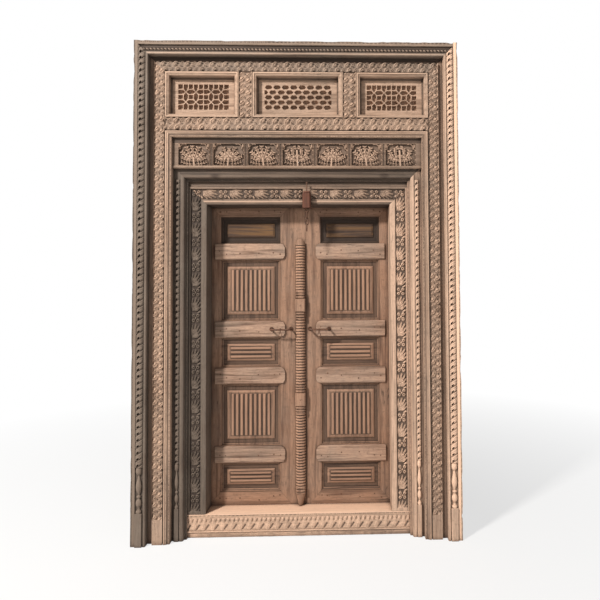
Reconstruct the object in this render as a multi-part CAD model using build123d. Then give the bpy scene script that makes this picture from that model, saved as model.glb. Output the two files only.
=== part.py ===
from build123d import *
from math import cos, pi, radians, sin
import os

# A double-leaf carved wooden door in its stepped frame, standing on the floor.
# Millimetres, +Z up. The front faces -Y, x = 0 is the middle of the doorway,
# y = 0 is half way through the depth, and z = 0 is the floor.
# "Depth" always means the distance behind the foremost plane of the frame.

# Overall size
total_width = 1890.0
total_height = 2900.0
total_depth = 290.0

# Outer architrave, from its outer edge inward
architrave_fillet = 25.0
architrave_rope = 44.0
architrave_bead = 15.0
architrave_back = 115.0
fillet_depth = 12.0
bead_depth = 8.0
rope_relief = 18.0
head_hollow = 2.0
head_tooth_depth = 4.0
head_tooth_slope = 4.0
head_tooth_width = 8.0
head_tooth_height = 26.0
head_tooth_cut = 9.0

# Carved surround with the transom windows
surround_recess = 30.0
surround_band = 59.0
surround_moulding = 40.0
surround_back = 190.0
recess_depth = 45.0
band_depth = 28.0
moulding_depth = 34.0
moulding_start = 18.0
moulding_slope = 4.0
quirk_width = 4.0
quirk_depth = 12.0
window_height = 272.0
lower_band = 75.0
mullion_width = 83.0
centre_window_width = 527.0
window_member = 33.0
window_bevel = 16.0
window_bevel_edge = 6.0
window_setback = 2.0
window_back = 130.0
lattice_depth = 74.0
lattice_thickness = 24.0
lattice_backing = 5.0
lattice_border = 31.0
lattice_end_border = 27.0
lattice_bar = 5.0
lattice_steps_across = 10
lattice_steps_up = 5
net_cells_across = 8
net_rows = 5

# Frieze of flower squares
frieze_height = 180.0
frieze_depth = 52.0
frieze_sink = 14.0
frieze_fillet = 16.0
frieze_ledge = 4.0
frieze_fascia = 28.0
frieze_squares = 7
frieze_end = 24.0
pilaster_width = 28.0
pilaster_groove = 4.0
flower_petals = 5
flower_petal_width = 12.0
flower_rim = 2.0
flower_stem = 9.0
flower_leaf_length = 58.0
flower_leaf_width = 8.0
spandrel_width = 34.0
spandrel_height = 52.0

# Inner frame with the rope colonettes
rope_jamb_flat = 13.0
rope_jamb_rope = 29.0
rope_jamb_band = 24.0
rope_jamb_hollow = 15.0
rope_jamb_front = 58.0
rope_jamb_back = 240.0
rope_jamb_step = 26.0
rope_jamb_face = 12.0
rope_jamb_fillet = 6.0
rope_jamb_slope = 2.0
rope_head_height = 70.0
rope_head_ticks = 13.0
rope_head_slope = 4.0
rope_head_bead = 20.0

# Innermost frame with the rosettes
rosette_bead = 11.0
rosette_band = 63.0
rosette_fillet = 32.0
lintel_tick_band = 30.0
rosette_depth = 97.0
rosette_sink = 8.0
rosette_pitch = 150.0
rosette_radius = 27.0
rosette_petals = 5
rosette_rise = 2.0
leaf_lean = 40.0
opening_arris = 4.0
lintel_tick_sink = 5.0

# Sill
sill_height = 137.0
sill_front = 95.0
petal_height = 77.0
petal_pitch = 53.0
sill_base = 41.0
petal_shoulder = 0.55
petal_gap = 6.0
petal_sink = 8.0
sill_arris = 4.0
sill_base_slope = 12.0

# Carving pitches
carving_pitch = 72.0
carving_width = 17.0
carving_depth = 12.0
carving_start = 135.0
carving_end = 70.0
carving_margin = 8.0
slant = 1.1
rope_pitch = 36.0
rope_lean = 0.7

# Turned bases of the two colonettes on each side
base_plinth = 185.0
base_height = 228.0
base_margin = 3.5
plinth_front = 1.0
inner_base_margin = 1.0

# Door leaves
leaf_depth = 215.0
leaf_thickness = 45.0
leaf_overlap = 28.5
leaf_top_overlap = 21.0
leaf_floor_gap = 3.0
leaf_front_gap = 2.0
leaf_side_gap = 9.5
meeting_edge = 33.0
meeting_gap = 2.0
hanging_stile = 62.0
meeting_stile = 123.0
rail_height = 100.0
end_rail_height = 78.0
top_panel = 165.0
handle_panel = 184.0
bottom_panel = 175.0
rail_lap = 12.0
rail_lap_reach = 28.0
rail_hanging_reach = 32.0
rail_chamfer = 7.0
panel_depth = 232.0
panel_thickness = 16.0
tongue = 9.7
groove = 10.0
groove_width = 8.0
field_margin_side = 37.0
field_margin_end = 40.0
field_relief = 10.0
field_bevel = 9.0
reed_relief = 6.0
reed_inset = 4.0
reed_foot = 0.46
reed_top = 0.2
upright_reeds = 9
level_reeds = 3

# Pivots of the leaves
pivot_radius = 20.0
pivot_length = 40.0
pivot_clearance = 0.05
pivot_end_gap = 0.3

# Ribbed half column on the meeting edge
astragal_width = 62.0
astragal_relief = 35.0
astragal_drop = 196.0
rib_pitch = 24.0
rib_depth = 4.0
block_height = 82.0
block_relief = 38.0
block_arris = 5.0
collar_height = 24.0
collar_offset = 18.0
collar_relief = 3.0
block_low_rise = 637.0
block_high_drop = 408.0
astragal_foot = 85.0
astragal_shoulder = 20.0
astragal_cap = 30.0
astragal_swell = 2.0

# Iron pulls with their pendants
pull_length = 118.0
pull_inset = 58.0
pull_radius = 6.0
pull_standoff = 55.0
pull_plate = 13.0
pull_plate_thickness = 3.0
pull_bend = 14.0
pull_facets = 6
pull_stub = 4.0
pendant_clearance = 0.3
pendant_wall = 3.4
pendant_width = 9.0
pendant_drop = 34.0
pendant_spread = 22.0
pendant_bar = 4.0

# Latch block, its iron pin and the chain
latch_x = 50.0
latch_width = 48.0
latch_height = 100.0
latch_drop = 26.0
latch_relief = 46.0
latch_arris = 6.0
latch_slope_height = 22.0
latch_slope_depth = 16.0
pin_head = 5.0
pin_radius = 3.0
pin_rise = 56.0
pin_clearance = 0.05
link_radius = 3.0
link_half_width = 9.0
link_pitch = 37.0
link_gap = 0.3
link_corner = 5.0
link_count = 3
link_facets = 6
link_stub = 2.0
eye_length = 22.0

# Edges of the frame, as distances from the middle
outer_edge = total_width / 2
fillet_edge = outer_edge - architrave_fillet
rope_edge = fillet_edge - architrave_rope
architrave_edge = rope_edge - architrave_bead
recess_edge = architrave_edge - surround_recess
band_edge = recess_edge - surround_band
surround_edge = band_edge - surround_moulding
flat_edge = surround_edge - rope_jamb_flat
colonette_edge = flat_edge - rope_jamb_rope
hollow_edge = colonette_edge - rope_jamb_band
rope_jamb_edge = hollow_edge - rope_jamb_hollow
rosette_outer = rope_jamb_edge - rosette_bead
rosette_inner = rosette_outer - rosette_band
opening_half = rosette_inner - rosette_fillet

# Heights of the frame, from the top down
architrave_width = architrave_fillet + architrave_rope + architrave_bead
architrave_low = total_height - architrave_width
recess_low = architrave_low - surround_recess
window_top = recess_low - surround_band
window_low = window_top - window_height
lower_band_low = window_low - lower_band
surround_low = lower_band_low - surround_moulding
frieze_low = surround_low - frieze_height
rope_head_low = frieze_low - rope_head_height
rosette_width = rosette_bead + rosette_band + rosette_fillet
opening_top = rope_head_low - lintel_tick_band - rosette_width

# Places of the leaves
pivot_depth = leaf_depth + leaf_thickness / 2
heel_edge = opening_half + leaf_overlap
pivot_x = heel_edge - leaf_thickness / 2
rebate_edge = heel_edge + leaf_side_gap
rebate_depth = leaf_depth - leaf_front_gap
leaf_low = sill_height + leaf_floor_gap
leaf_high = opening_top + leaf_top_overlap
rebate_top = leaf_high + leaf_floor_gap
astragal_top = opening_top - astragal_drop
stile_inner = heel_edge - leaf_thickness / 2 - hanging_stile
tall_panel = (
    leaf_high - leaf_low - 2 * end_rail_height - 4 * rail_height
    - top_panel - handle_panel - bottom_panel
) / 2

sides = {"left": -1, "right": 1}

# How far a tool or a joined piece runs past a face
past = 1.0


def y_at(depth):
    """Model y of a plane this far behind the front."""
    return depth - total_depth / 2


def polygon(points):
    """Flat face through corners given as model points."""
    return Face(Wire.make_polygon([Vector(*p) for p in points], close=True))


def column(section, low, high):
    """Upright piece: a section of (x, depth) corners between two heights."""
    face = polygon([(x, y_at(d), low) for x, d in section])
    return Solid.extrude(face, Vector(0, 0, high - low))


def beam(section, left, right):
    """Level piece: a section of (z, depth) corners between two x places."""
    face = polygon([(left, y_at(d), z) for z, d in section])
    return Solid.extrude(face, Vector(right - left, 0, 0))


def slab(outline, front, back):
    """Board seen from the front: an outline of (x, z) corners between two depths."""
    face = polygon([(x, y_at(front), z) for x, z in outline])
    return Solid.extrude(face, Vector(0, back - front, 0))


def rectangle(left, right, low, high):
    """Corners of an upright rectangle as (x, z)."""
    return [(left, low), (right, low), (right, high), (left, high)]


def block(left, right, low, high, front, back):
    """Plain box between x, z and depth limits."""
    return slab(rectangle(left, right, low, high), front, back)


def at_side(side, points):
    """Put corners that are given as distances from the middle on one side."""
    return [(side * a, b) for a, b in points]


def one(shape):
    """The single solid of a result."""
    solids = shape.solids()
    if len(solids) != 1:
        raise ValueError(f"expected one solid, got {len(solids)}")
    return solids[0]


def join(base, pieces):
    """Fuse pieces into a base."""
    return one(base.fuse(*pieces)) if pieces else base


def cut(base, tools):
    """Cut tools out of a base."""
    return one(base.cut(*tools)) if tools else base


def frustum(outline, top, front, base):
    """Raised field: from an outline at one depth to a smaller one further forward."""
    low = [(x, y_at(base), z) for x, z in outline]
    high = [(x, y_at(front), z) for x, z in top]
    count = len(low)
    walls = [
        polygon([low[i], low[(i + 1) % count], high[(i + 1) % count], high[i]]) for i in range(count)
    ]
    return Solid(Shell([polygon(low), polygon(high)] + walls))


def pyramid(outline, peak, front, base):
    """Pointed boss on an outline of (x, z) corners."""
    low = [(x, y_at(base), z) for x, z in outline]
    tip = (peak[0], y_at(front), peak[1])
    count = len(low)
    walls = [polygon([low[i], low[(i + 1) % count], tip]) for i in range(count)]
    return Solid(Shell([polygon(low)] + walls))


def kite(x, z, angle, inner, outer, width):
    """Corners of a petal that points away from (x, z) at an angle from straight up."""
    along = Vector(sin(angle), 0, cos(angle))
    across = Vector(cos(angle), 0, -sin(angle))
    places = [(inner, 0), (inner + 0.6 * (outer - inner), width), (outer, 0),
              (inner + 0.6 * (outer - inner), -width)]
    points = [Vector(x, 0, z) + along * a + across * b for a, b in places]
    return [(p.X, p.Z) for p in points]


def upright_grooves(left, right, low, high, front, depth, pitch=carving_pitch, width=carving_width):
    """Slanting V grooves across an upright band."""
    reach = right - left
    tools = []
    z = low + width
    while z + width < high:
        triangle = polygon([
            (left, y_at(front - past), z - width), (left, y_at(front - past), z + width),
            (left, y_at(front + depth), z),
        ])
        tools.append(Solid.extrude(triangle, Vector(reach, 0, slant * reach)))
        z += pitch
    return tools


def level_grooves(left, right, low, high, front, depth, pitch=carving_pitch, width=carving_width):
    """Slanting V grooves across a level band."""
    reach = high - low
    tools = []
    x = left + width
    while x + width < right:
        triangle = polygon([
            (x - width, y_at(front - past), low), (x + width, y_at(front - past), low),
            (x, y_at(front + depth), low),
        ])
        tools.append(Solid.extrude(triangle, Vector(reach / slant, 0, reach)))
        x += pitch
    return tools


def turned_base(x, low, radius, depth):
    """Rings, vase and ball at the foot of a colonette: the front half of an octagon turning."""
    profile = [(0.95, 0.0), (0.95, 0.09), (0.68, 0.13), (0.76, 0.28), (0.95, 0.36), (0.95, 0.42),
               (0.5, 0.5), (0.9, 0.82), (0.6, 0.9), (0.78, 0.95), (0.5, 1.0)]
    angles = [radians(a) for a in (0, 45, 90, 135, 180)]
    rings = []
    for size, height in profile:
        rings.append([(x + size * radius * cos(a), y_at(depth) - size * radius * sin(a),
                       low + height * base_height) for a in angles])
    faces = [polygon(rings[0]), polygon(rings[-1])]
    for below, above in zip(rings, rings[1:]):
        for i in range(len(angles)):
            j = (i + 1) % len(angles)
            faces.append(polygon([below[i], below[j], above[j], above[i]]))
    return Solid(Shell(faces))


def rope_beads(x, half, low, high, ground, front):
    """Leaning pointed beads in a row, which read as a twisted rope."""
    rise = rope_lean * 2 * half
    pieces = []
    z = low
    while z + rope_pitch + rise < high:
        outline = [(x - half, z), (x + half, z + rise), (x + half, z + rise + rope_pitch),
                   (x - half, z + rope_pitch)]
        pieces.append(pyramid(outline, (x, z + (rise + rope_pitch) / 2), front, ground))
        z += rope_pitch
    return pieces


def rosette(x, z, ground):
    """Flower with pointed petals standing on a sunk ground."""
    outline = []
    for i in range(2 * rosette_petals):
        angle = pi * i / rosette_petals
        reach = rosette_radius if i % 2 == 0 else 0.5 * rosette_radius
        outline.append((x + reach * sin(angle), z + reach * cos(angle)))
    return [pyramid(outline, (x, z), ground - rosette_sink - rosette_rise, ground + past)]


def leaning_leaf(x, z, ground):
    """Leaf lying slantwise between two rosettes."""
    outline = kite(x, z, radians(leaf_lean), -rosette_radius, rosette_radius, rosette_radius / 2)
    return [pyramid(outline, (x, z), ground - rosette_sink, ground + past)]


def outer_jamb(side):
    """Architrave upright: fillet, rope roll and bead, with a turned base."""
    section = at_side(side, [
        (outer_edge, architrave_back), (outer_edge, fillet_depth), (fillet_edge, fillet_depth),
        (fillet_edge, rope_relief), (rope_edge, rope_relief), (rope_edge, bead_depth),
        (architrave_edge, bead_depth), (architrave_edge, architrave_back),
    ])
    outline = at_side(side, [
        (architrave_edge, 0), (outer_edge, 0), (outer_edge, total_height), (fillet_edge, total_height),
        (fillet_edge, total_height - architrave_fillet), (architrave_edge, architrave_low),
    ])
    body = one(column(section, 0, total_height) & slab(outline, -past, architrave_back + past))
    middle = side * (fillet_edge + rope_edge) / 2
    half = architrave_rope / 2
    pieces = rope_beads(middle, half, base_plinth + base_height, architrave_low, rope_relief, 0)
    turning = half - base_margin
    pieces.append(turned_base(middle, base_plinth, turning, rope_relief))
    pieces.append(block(middle - turning, middle + turning, 0, base_plinth, plinth_front, rope_relief))
    return join(body, pieces)


def outer_head():
    """Architrave head between the two mitres, with a notched hollow."""
    fillet_low = total_height - architrave_fillet
    rope_low = fillet_low - architrave_rope
    tooth_low = rope_low + head_tooth_slope
    section = [
        (total_height, architrave_back), (total_height, fillet_depth), (fillet_low, fillet_depth),
        (fillet_low, rope_relief + head_hollow), (tooth_low + head_tooth_width, head_tooth_depth),
        (tooth_low, head_tooth_depth), (rope_low, rope_relief), (rope_low, bead_depth),
        (architrave_low, bead_depth), (architrave_low, architrave_back),
    ]
    half = [
        (fillet_edge, total_height), (fillet_edge, fillet_low), (architrave_edge, architrave_low),
    ]
    outline = half + [(-x, z) for x, z in reversed(half)]
    body = one(beam(section, -outer_edge, outer_edge) & slab(outline, -past, architrave_back + past))
    reach = fillet_edge - architrave_rope
    return cut(body, level_grooves(
        -reach, reach, tooth_low, tooth_low + head_tooth_height, head_tooth_depth, head_tooth_cut))


def carved_jamb(side):
    """Surround upright: recess, carved band and moulding."""
    quirk = band_edge - quirk_width
    section = at_side(side, [
        (architrave_edge, surround_back), (architrave_edge, recess_depth), (recess_edge, recess_depth),
        (recess_edge, band_depth), (band_edge, band_depth), (band_edge, band_depth + quirk_depth),
        (quirk, band_depth + quirk_depth), (quirk, band_depth), (surround_edge + moulding_start, band_depth),
        (surround_edge + moulding_start - moulding_slope, moulding_depth), (surround_edge, moulding_depth),
        (surround_edge, surround_back),
    ])
    outline = at_side(side, [
        (surround_edge, 0), (architrave_edge, 0), (architrave_edge, architrave_low),
        (band_edge, window_top), (band_edge, lower_band_low), (surround_edge, surround_low),
    ])
    body = one(column(section, 0, architrave_low) & slab(outline, -past, surround_back + past))
    near, far = sorted((side * (band_edge - past), side * (recess_edge + past)))
    return cut(body, upright_grooves(
        near, far, carving_start, recess_low - carving_end, band_depth, carving_depth))


def carved_top_rail():
    """Surround head, mitred to the uprights."""
    section = [
        (architrave_low, surround_back), (architrave_low, recess_depth), (recess_low, recess_depth),
        (recess_low, band_depth), (window_top, band_depth), (window_top, surround_back),
    ]
    outline = [
        (-architrave_edge, architrave_low), (-band_edge, window_top),
        (band_edge, window_top), (architrave_edge, architrave_low),
    ]
    body = one(beam(section, -architrave_edge, architrave_edge) & slab(outline, -past, surround_back + past))
    reach = band_edge - carving_margin
    return cut(body, level_grooves(
        -reach, reach - surround_band / slant, window_top - past, recess_low + past, band_depth, carving_depth))


def carved_lower_rail():
    """Rail under the windows, whose moulding is mitred to the uprights."""
    quirk = lower_band_low - quirk_width
    section = [
        (window_low, surround_back), (window_low, band_depth), (lower_band_low, band_depth),
        (lower_band_low, band_depth + quirk_depth), (quirk, band_depth + quirk_depth),
        (quirk, band_depth), (surround_low + moulding_start, band_depth),
        (surround_low + moulding_start - moulding_slope, moulding_depth), (surround_low, moulding_depth),
        (surround_low, surround_back),
    ]
    outline = [
        (-band_edge, window_low), (-band_edge, lower_band_low), (-surround_edge, surround_low),
        (surround_edge, surround_low), (band_edge, lower_band_low), (band_edge, window_low),
    ]
    body = one(beam(section, -band_edge, band_edge) & slab(outline, -past, surround_back + past))
    reach = band_edge - carving_margin
    return cut(body, level_grooves(
        -reach, reach - lower_band / slant, lower_band_low - past, window_low + past,
        band_depth, carving_depth))


def mullion(side):
    """Carved post between two windows."""
    near = centre_window_width / 2
    far = near + mullion_width
    left, right = sorted((side * near, side * far))
    body = block(left, right, window_low, window_top, band_depth, surround_back)
    return cut(body, upright_grooves(
        left - past, right + past, window_low, window_top - slant * mullion_width, band_depth, carving_depth))


def window_limits(place):
    """Left and right edge of a window bay: place is -1, 0 or 1."""
    near = centre_window_width / 2
    if place == 0:
        return -near, near
    return tuple(sorted((place * (near + mullion_width), place * band_edge)))


def window_frame(place):
    """Bevelled frame round one window."""
    left, right = window_limits(place)
    front = band_depth + window_setback
    edge = window_bevel_edge
    outer = block(left, right, window_low, window_top, front, window_back)
    inner = rectangle(left + window_member, right - window_member,
                      window_low + window_member, window_top - window_member)
    ramp = rectangle(left + edge, right - edge, window_low + edge, window_top - edge)
    bevel = frustum(inner, ramp, front, front + window_bevel)
    return cut(outer, [slab(inner, front - past, window_back + past), bevel])


def lattice_board(place, holes):
    """Board with a deep cut pattern on a thin solid back, held inside its window frame."""
    left, right = window_limits(place)
    body = block(left + window_member, right - window_member, window_low + window_member,
                 window_top - window_member, lattice_depth, lattice_depth + lattice_thickness)
    bottom = lattice_depth + lattice_thickness - lattice_backing
    return cut(body, [slab(hole, lattice_depth - past, bottom) for hole in holes])


def pattern_field(place):
    """Limits of the cut pattern of a lattice board."""
    left, right = window_limits(place)
    side = window_member + lattice_border
    end = window_member + lattice_end_border
    return left + side, right - side, window_low + end, window_top - end


def side_lattice(place):
    """Squares joined by crosses, ten grid steps wide and five high, with a bar up the middle."""
    left, right, low, high = pattern_field(place)
    step_x = (right - left) / lattice_steps_across
    step_z = (high - low) / lattice_steps_up
    bar = lattice_bar / 2
    lean = bar / sin(pi / 4)

    def spot(i, j):
        return left + i * step_x, low + j * step_z

    def inset(points):
        """Draw a hole's corners in from the bar centres."""
        cx = sum(p[0] for p in points) / len(points)
        cz = sum(p[1] for p in points) / len(points)
        moved = []
        for x, z in points:
            on_edge_x = min(abs(x - left), abs(x - right)) < 0.01
            on_edge_z = min(abs(z - low), abs(z - high)) < 0.01
            dx = 0 if on_edge_x else (bar if x < cx - 0.01 else -bar if x > cx + 0.01 else 0)
            dz = 0 if on_edge_z else (bar if z < cz - 0.01 else -bar if z > cz + 0.01 else 0)
            if abs(x - cx) < 0.01:
                dz = lean if z < cz else -lean
            if abs(z - cz) < 0.01:
                dx = lean if x < cx else -lean
            moved.append((x + dx, z + dz))
        return moved

    columns = [(0, 1), (2, 3), (4, 5), (5, 6), (7, 8), (9, 10)]
    rows = [(0, 1), (2, 3), (4, 5)]
    crosses_x = [(1, 2), (3, 4), (6, 7), (8, 9)]
    crosses_z = [(1, 2), (3, 4)]
    holes = []
    for a, b in columns:
        for c, d in rows:
            holes.append([spot(a, c), spot(b, c), spot(b, d), spot(a, d)])
    for a, b in crosses_x:
        for c, d in rows:
            hole = [spot(a, c), spot(b, c), spot(b, d), spot(a, d)]
            if c > 0:
                hole.insert(1, spot((a + b) / 2, c - 0.5))
            if d < 5:
                hole.insert(-1, spot((a + b) / 2, d + 0.5))
            holes.append(hole)
    for c, d in crosses_z:
        for a, b in columns:
            hole = [spot(a, c), spot(b, c), spot(b, d), spot(a, d)]
            if a not in (0, 5):
                hole.append(spot(a - 0.5, (c + d) / 2))
            if b not in (5, 10):
                hole.insert(2, spot(b + 0.5, (c + d) / 2))
            holes.append(hole)
    return [inset(hole) for hole in holes]


def centre_lattice():
    """Net of flattened hexagons in five rows, each row half a step across from the last."""
    left, right, low, high = pattern_field(0)
    step_x = (right - left) / net_cells_across
    step_z = (high - low) / net_rows
    reach = (step_x - lattice_bar) / 2
    short = step_x / 4
    rise = (step_z - lattice_bar) / 2
    holes = []
    for row in range(net_rows):
        z = low + (row + 0.5) * step_z
        staggered = row % 2
        for i in range(net_cells_across - staggered):
            x = left + (i + 0.5 + 0.5 * staggered) * step_x
            holes.append([(x - reach, z), (x - short, z - rise), (x + short, z - rise),
                          (x + reach, z), (x + short, z + rise), (x - short, z + rise)])
        if staggered:
            for edge, way in ((left, 1), (right, -1)):
                holes.append([(edge, z - rise), (edge + way * short, z - rise), (edge + way * reach, z),
                              (edge + way * short, z + rise), (edge, z + rise)])
    return holes


def flower_square(x, low, high, width, ground):
    """Cusped arch with a fan-shaped plant of pointed petals."""
    front = ground - frieze_sink + flower_rim
    height = high - low
    stem_top = low + 0.42 * height
    half = flower_stem
    stem = [(x - half, low - past), (x + half, low - past), (x + half / 2, stem_top), (x - half / 2, stem_top)]
    pieces = [pyramid(stem, (x, low + half), front, ground + past)]
    reach = 0.56 * height
    root = stem_top - half
    for i in range(flower_petals):
        angle = pi * (i / (flower_petals - 1) - 0.5)
        outline = kite(x, root, angle, half / 2, reach, flower_petal_width)
        peak = (x + 0.6 * reach * sin(angle), root + 0.6 * reach * cos(angle))
        pieces.append(pyramid(outline, peak, front, ground + past))
    for side in (-1, 1):
        edge = x + side * width / 2
        corner = [(edge, high), (edge - side * spandrel_width, high),
                  (edge - side * 0.4 * spandrel_width, high - 0.25 * spandrel_height),
                  (edge - side * 0.2 * spandrel_width, high - 0.75 * spandrel_height),
                  (edge, high - spandrel_height)]
        pieces.append(slab(corner, front + 2 * flower_rim, ground + past))
        foot = kite(edge - side * flower_rim, low + flower_rim, -side * radians(62), 0, flower_leaf_length,
                    flower_leaf_width)
        peak = (edge - side * flower_leaf_length / 2, low + 2 * flower_leaf_width)
        pieces.append(pyramid(foot, peak, front, ground + past))
    return pieces


def frieze_board():
    """Board of flower squares parted by grooved pilasters."""
    ground = frieze_depth + frieze_sink
    low = frieze_low + frieze_fillet
    high = surround_low - frieze_fascia
    ledge = frieze_depth - frieze_ledge
    section = [
        (frieze_low, surround_back), (frieze_low, ledge), (low, ledge),
        (low, ground), (high, ground), (high, frieze_depth), (surround_low, frieze_depth),
        (surround_low, surround_back),
    ]
    body = beam(section, -surround_edge, surround_edge)
    pitch = (2 * (surround_edge - frieze_end) + pilaster_width) / frieze_squares
    width = pitch - pilaster_width
    pieces = []
    for i in range(frieze_squares):
        x = (i - (frieze_squares - 1) / 2) * pitch
        pieces += flower_square(x, low, high, width, ground)
        if i < frieze_squares - 1:
            edge = x + width / 2
            middle = edge + pilaster_width / 2
            section = [(edge, ground + past), (edge, frieze_depth), (middle - pilaster_groove, frieze_depth),
                       (middle, frieze_depth + pilaster_groove), (middle + pilaster_groove, frieze_depth),
                       (edge + pilaster_width, frieze_depth), (edge + pilaster_width, ground + past)]
            pieces.append(column(section, low - past, high + past))
    for side in (-1, 1):
        left, right = sorted((side * (surround_edge - frieze_end), side * surround_edge))
        pieces.append(block(left, right, low - past, high + past, frieze_depth, ground + past))
    return join(body, pieces)


def rope_jamb(side):
    """Inner upright with a rope colonette on a turned base."""
    face = rope_jamb_front + rope_jamb_face
    band = rope_jamb_front + rope_jamb_fillet
    hollow = rope_jamb_front + rope_jamb_step
    section = at_side(side, [
        (surround_edge, rope_jamb_back), (surround_edge, face), (colonette_edge, face),
        (colonette_edge, band), (hollow_edge + rope_jamb_slope, band), (hollow_edge - rope_jamb_slope, hollow),
        (rope_jamb_edge, hollow), (rope_jamb_edge, rope_jamb_back),
    ])
    mitre_edge = rope_jamb_edge + rope_head_height
    outline = at_side(side, [
        (rope_jamb_edge, 0), (surround_edge, 0), (surround_edge, frieze_low),
        (mitre_edge, frieze_low), (rope_jamb_edge, rope_head_low),
    ])
    body = one(column(section, 0, frieze_low) & slab(outline, -past, rope_jamb_back + past))
    middle = side * (flat_edge + colonette_edge) / 2
    half = rope_jamb_rope / 2
    pieces = rope_beads(
        middle, half, base_plinth + base_height, rope_head_low + rope_head_bead, face, rope_jamb_front)
    turning = half - inner_base_margin
    pieces.append(turned_base(middle, base_plinth, turning, face))
    pieces.append(block(middle - turning, middle + turning, 0, base_plinth, rope_jamb_front, face))
    return join(body, pieces)


def rope_head():
    """Moulded head of the inner frame."""
    hollow = rope_jamb_front + rope_jamb_step
    face = rope_jamb_front + rope_jamb_face
    band = rope_jamb_front + rope_jamb_fillet
    tick_top = rope_head_low + rope_head_ticks
    bead_low = tick_top + rope_head_slope
    bead_top = bead_low + rope_head_bead
    section = [
        (rope_head_low, rope_jamb_back), (rope_head_low, hollow), (tick_top, hollow), (bead_low, band),
        (bead_top, band), (bead_top + rope_head_slope, face), (frieze_low, face), (frieze_low, rope_jamb_back),
    ]
    mitre_edge = rope_jamb_edge + rope_head_height
    outline = [(-rope_jamb_edge, rope_head_low), (rope_jamb_edge, rope_head_low),
               (mitre_edge, frieze_low), (-mitre_edge, frieze_low)]
    return one(beam(section, -mitre_edge, mitre_edge) & slab(outline, -past, rope_jamb_back + past))


def rosette_jamb(side):
    """Innermost upright: rebated for the leaf, with a band of rosettes and leaves."""
    ground = rosette_depth + rosette_sink
    section = at_side(side, [
        (rope_jamb_edge, total_depth), (rope_jamb_edge, rosette_depth), (rosette_outer, rosette_depth),
        (rosette_outer, ground), (rosette_inner, ground), (rosette_inner, rosette_depth),
        (opening_half + opening_arris, rosette_depth), (opening_half, rosette_depth + opening_arris),
        (opening_half, rebate_depth), (rebate_edge, rebate_depth), (rebate_edge, total_depth),
    ])
    outline = at_side(side, [
        (opening_half, sill_height), (rope_jamb_edge, sill_height),
        (rope_jamb_edge, opening_top + rosette_width), (opening_half, opening_top),
    ])
    top = opening_top + rosette_width
    body = one(column(section, sill_height, top) & slab(outline, -past, total_depth + past))
    x = side * (rosette_outer + rosette_inner) / 2
    pieces = []
    z = opening_top - rosette_pitch / 2
    while z > sill_height + rosette_pitch / 2:
        pieces += rosette(x, z, ground)
        if z - rosette_pitch / 2 > sill_height + 1.5 * rosette_radius:
            pieces += leaning_leaf(x, z - rosette_pitch / 2, ground)
        z -= rosette_pitch
    return join(body, pieces)


def lintel():
    """Innermost head with the rosette band, the rebate and the upper pivot sockets."""
    ground = rosette_depth + rosette_sink
    fillet_top = opening_top + rosette_fillet
    band_top = fillet_top + rosette_band
    bead_top = band_top + rosette_bead
    ticks = rosette_depth + lintel_tick_sink
    section = [
        (opening_top, rebate_depth), (opening_top, rosette_depth + opening_arris),
        (opening_top + opening_arris, rosette_depth), (fillet_top, rosette_depth), (fillet_top, ground),
        (band_top, ground), (band_top, rosette_depth), (bead_top, rosette_depth), (bead_top, ticks),
        (rope_head_low, ticks), (rope_head_low, total_depth), (rebate_top, total_depth),
        (rebate_top, rebate_depth),
    ]
    half = [(opening_half, opening_top), (rope_jamb_edge, bead_top), (rope_jamb_edge, rope_head_low)]
    outline = half + [(-x, z) for x, z in reversed(half)]
    body = one(beam(section, -rope_jamb_edge, rope_jamb_edge) & slab(outline, -past, total_depth + past))
    body = cut(body, [pivot_socket(side, rebate_top, 1) for side in sides.values()])
    z = (fillet_top + band_top) / 2
    pieces = []
    flowers = int(opening_half / rosette_pitch)
    for i in range(-flowers, flowers + 1):
        x = i * rosette_pitch
        if abs(i) > 0:
            pieces += rosette(x, z, ground)
        if i < flowers:
            between = x + rosette_pitch / 2
            if abs(between - latch_x) > latch_width / 2 + 2 * rosette_radius:
                pieces += leaning_leaf(between, z, ground)
    return join(body, pieces)


def pivot_socket(side, level, way):
    """Tool for a round socket that opens at a level and runs up (1) or down (-1)."""
    depth = pivot_length - leaf_floor_gap + pivot_end_gap
    low = level - past if way > 0 else level - depth
    return Solid.make_cylinder(
        pivot_radius + pivot_clearance, depth + past,
        Plane(origin=(side * pivot_x, y_at(pivot_depth), low), z_dir=(0, 0, 1)))


def sill():
    """Threshold with a row of upright petals and the lower pivot sockets."""
    ground = sill_front + petal_sink
    base_front = sill_front + sill_arris
    petal_top = sill_base + petal_height
    section = [
        (0, total_depth), (0, base_front), (sill_base - sill_base_slope, base_front),
        (sill_base - sill_base_slope + sill_arris, sill_front), (sill_base, sill_front), (sill_base, ground),
        (petal_top, ground), (petal_top, sill_front + sill_arris / 2), (sill_height - sill_arris, sill_front),
        (sill_height, base_front), (sill_height, total_depth),
    ]
    body = beam(section, -rope_jamb_edge, rope_jamb_edge)
    body = cut(body, [pivot_socket(side, sill_height, -1) for side in sides.values()])
    count = int((2 * rope_jamb_edge - petal_pitch) / petal_pitch)
    pieces = []
    for i in range(count):
        x = (i - (count - 1) / 2) * petal_pitch
        half = petal_pitch / 2
        shoulder = sill_base + petal_shoulder * petal_height
        outline = [(x - half, sill_base), (x + half, sill_base), (x + half, shoulder),
                   (x, petal_top - petal_gap), (x - half, shoulder)]
        peak = (x, sill_base + petal_height / 2)
        pieces.append(pyramid(outline, peak, sill_front, ground))
    return join(body, pieces)


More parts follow.
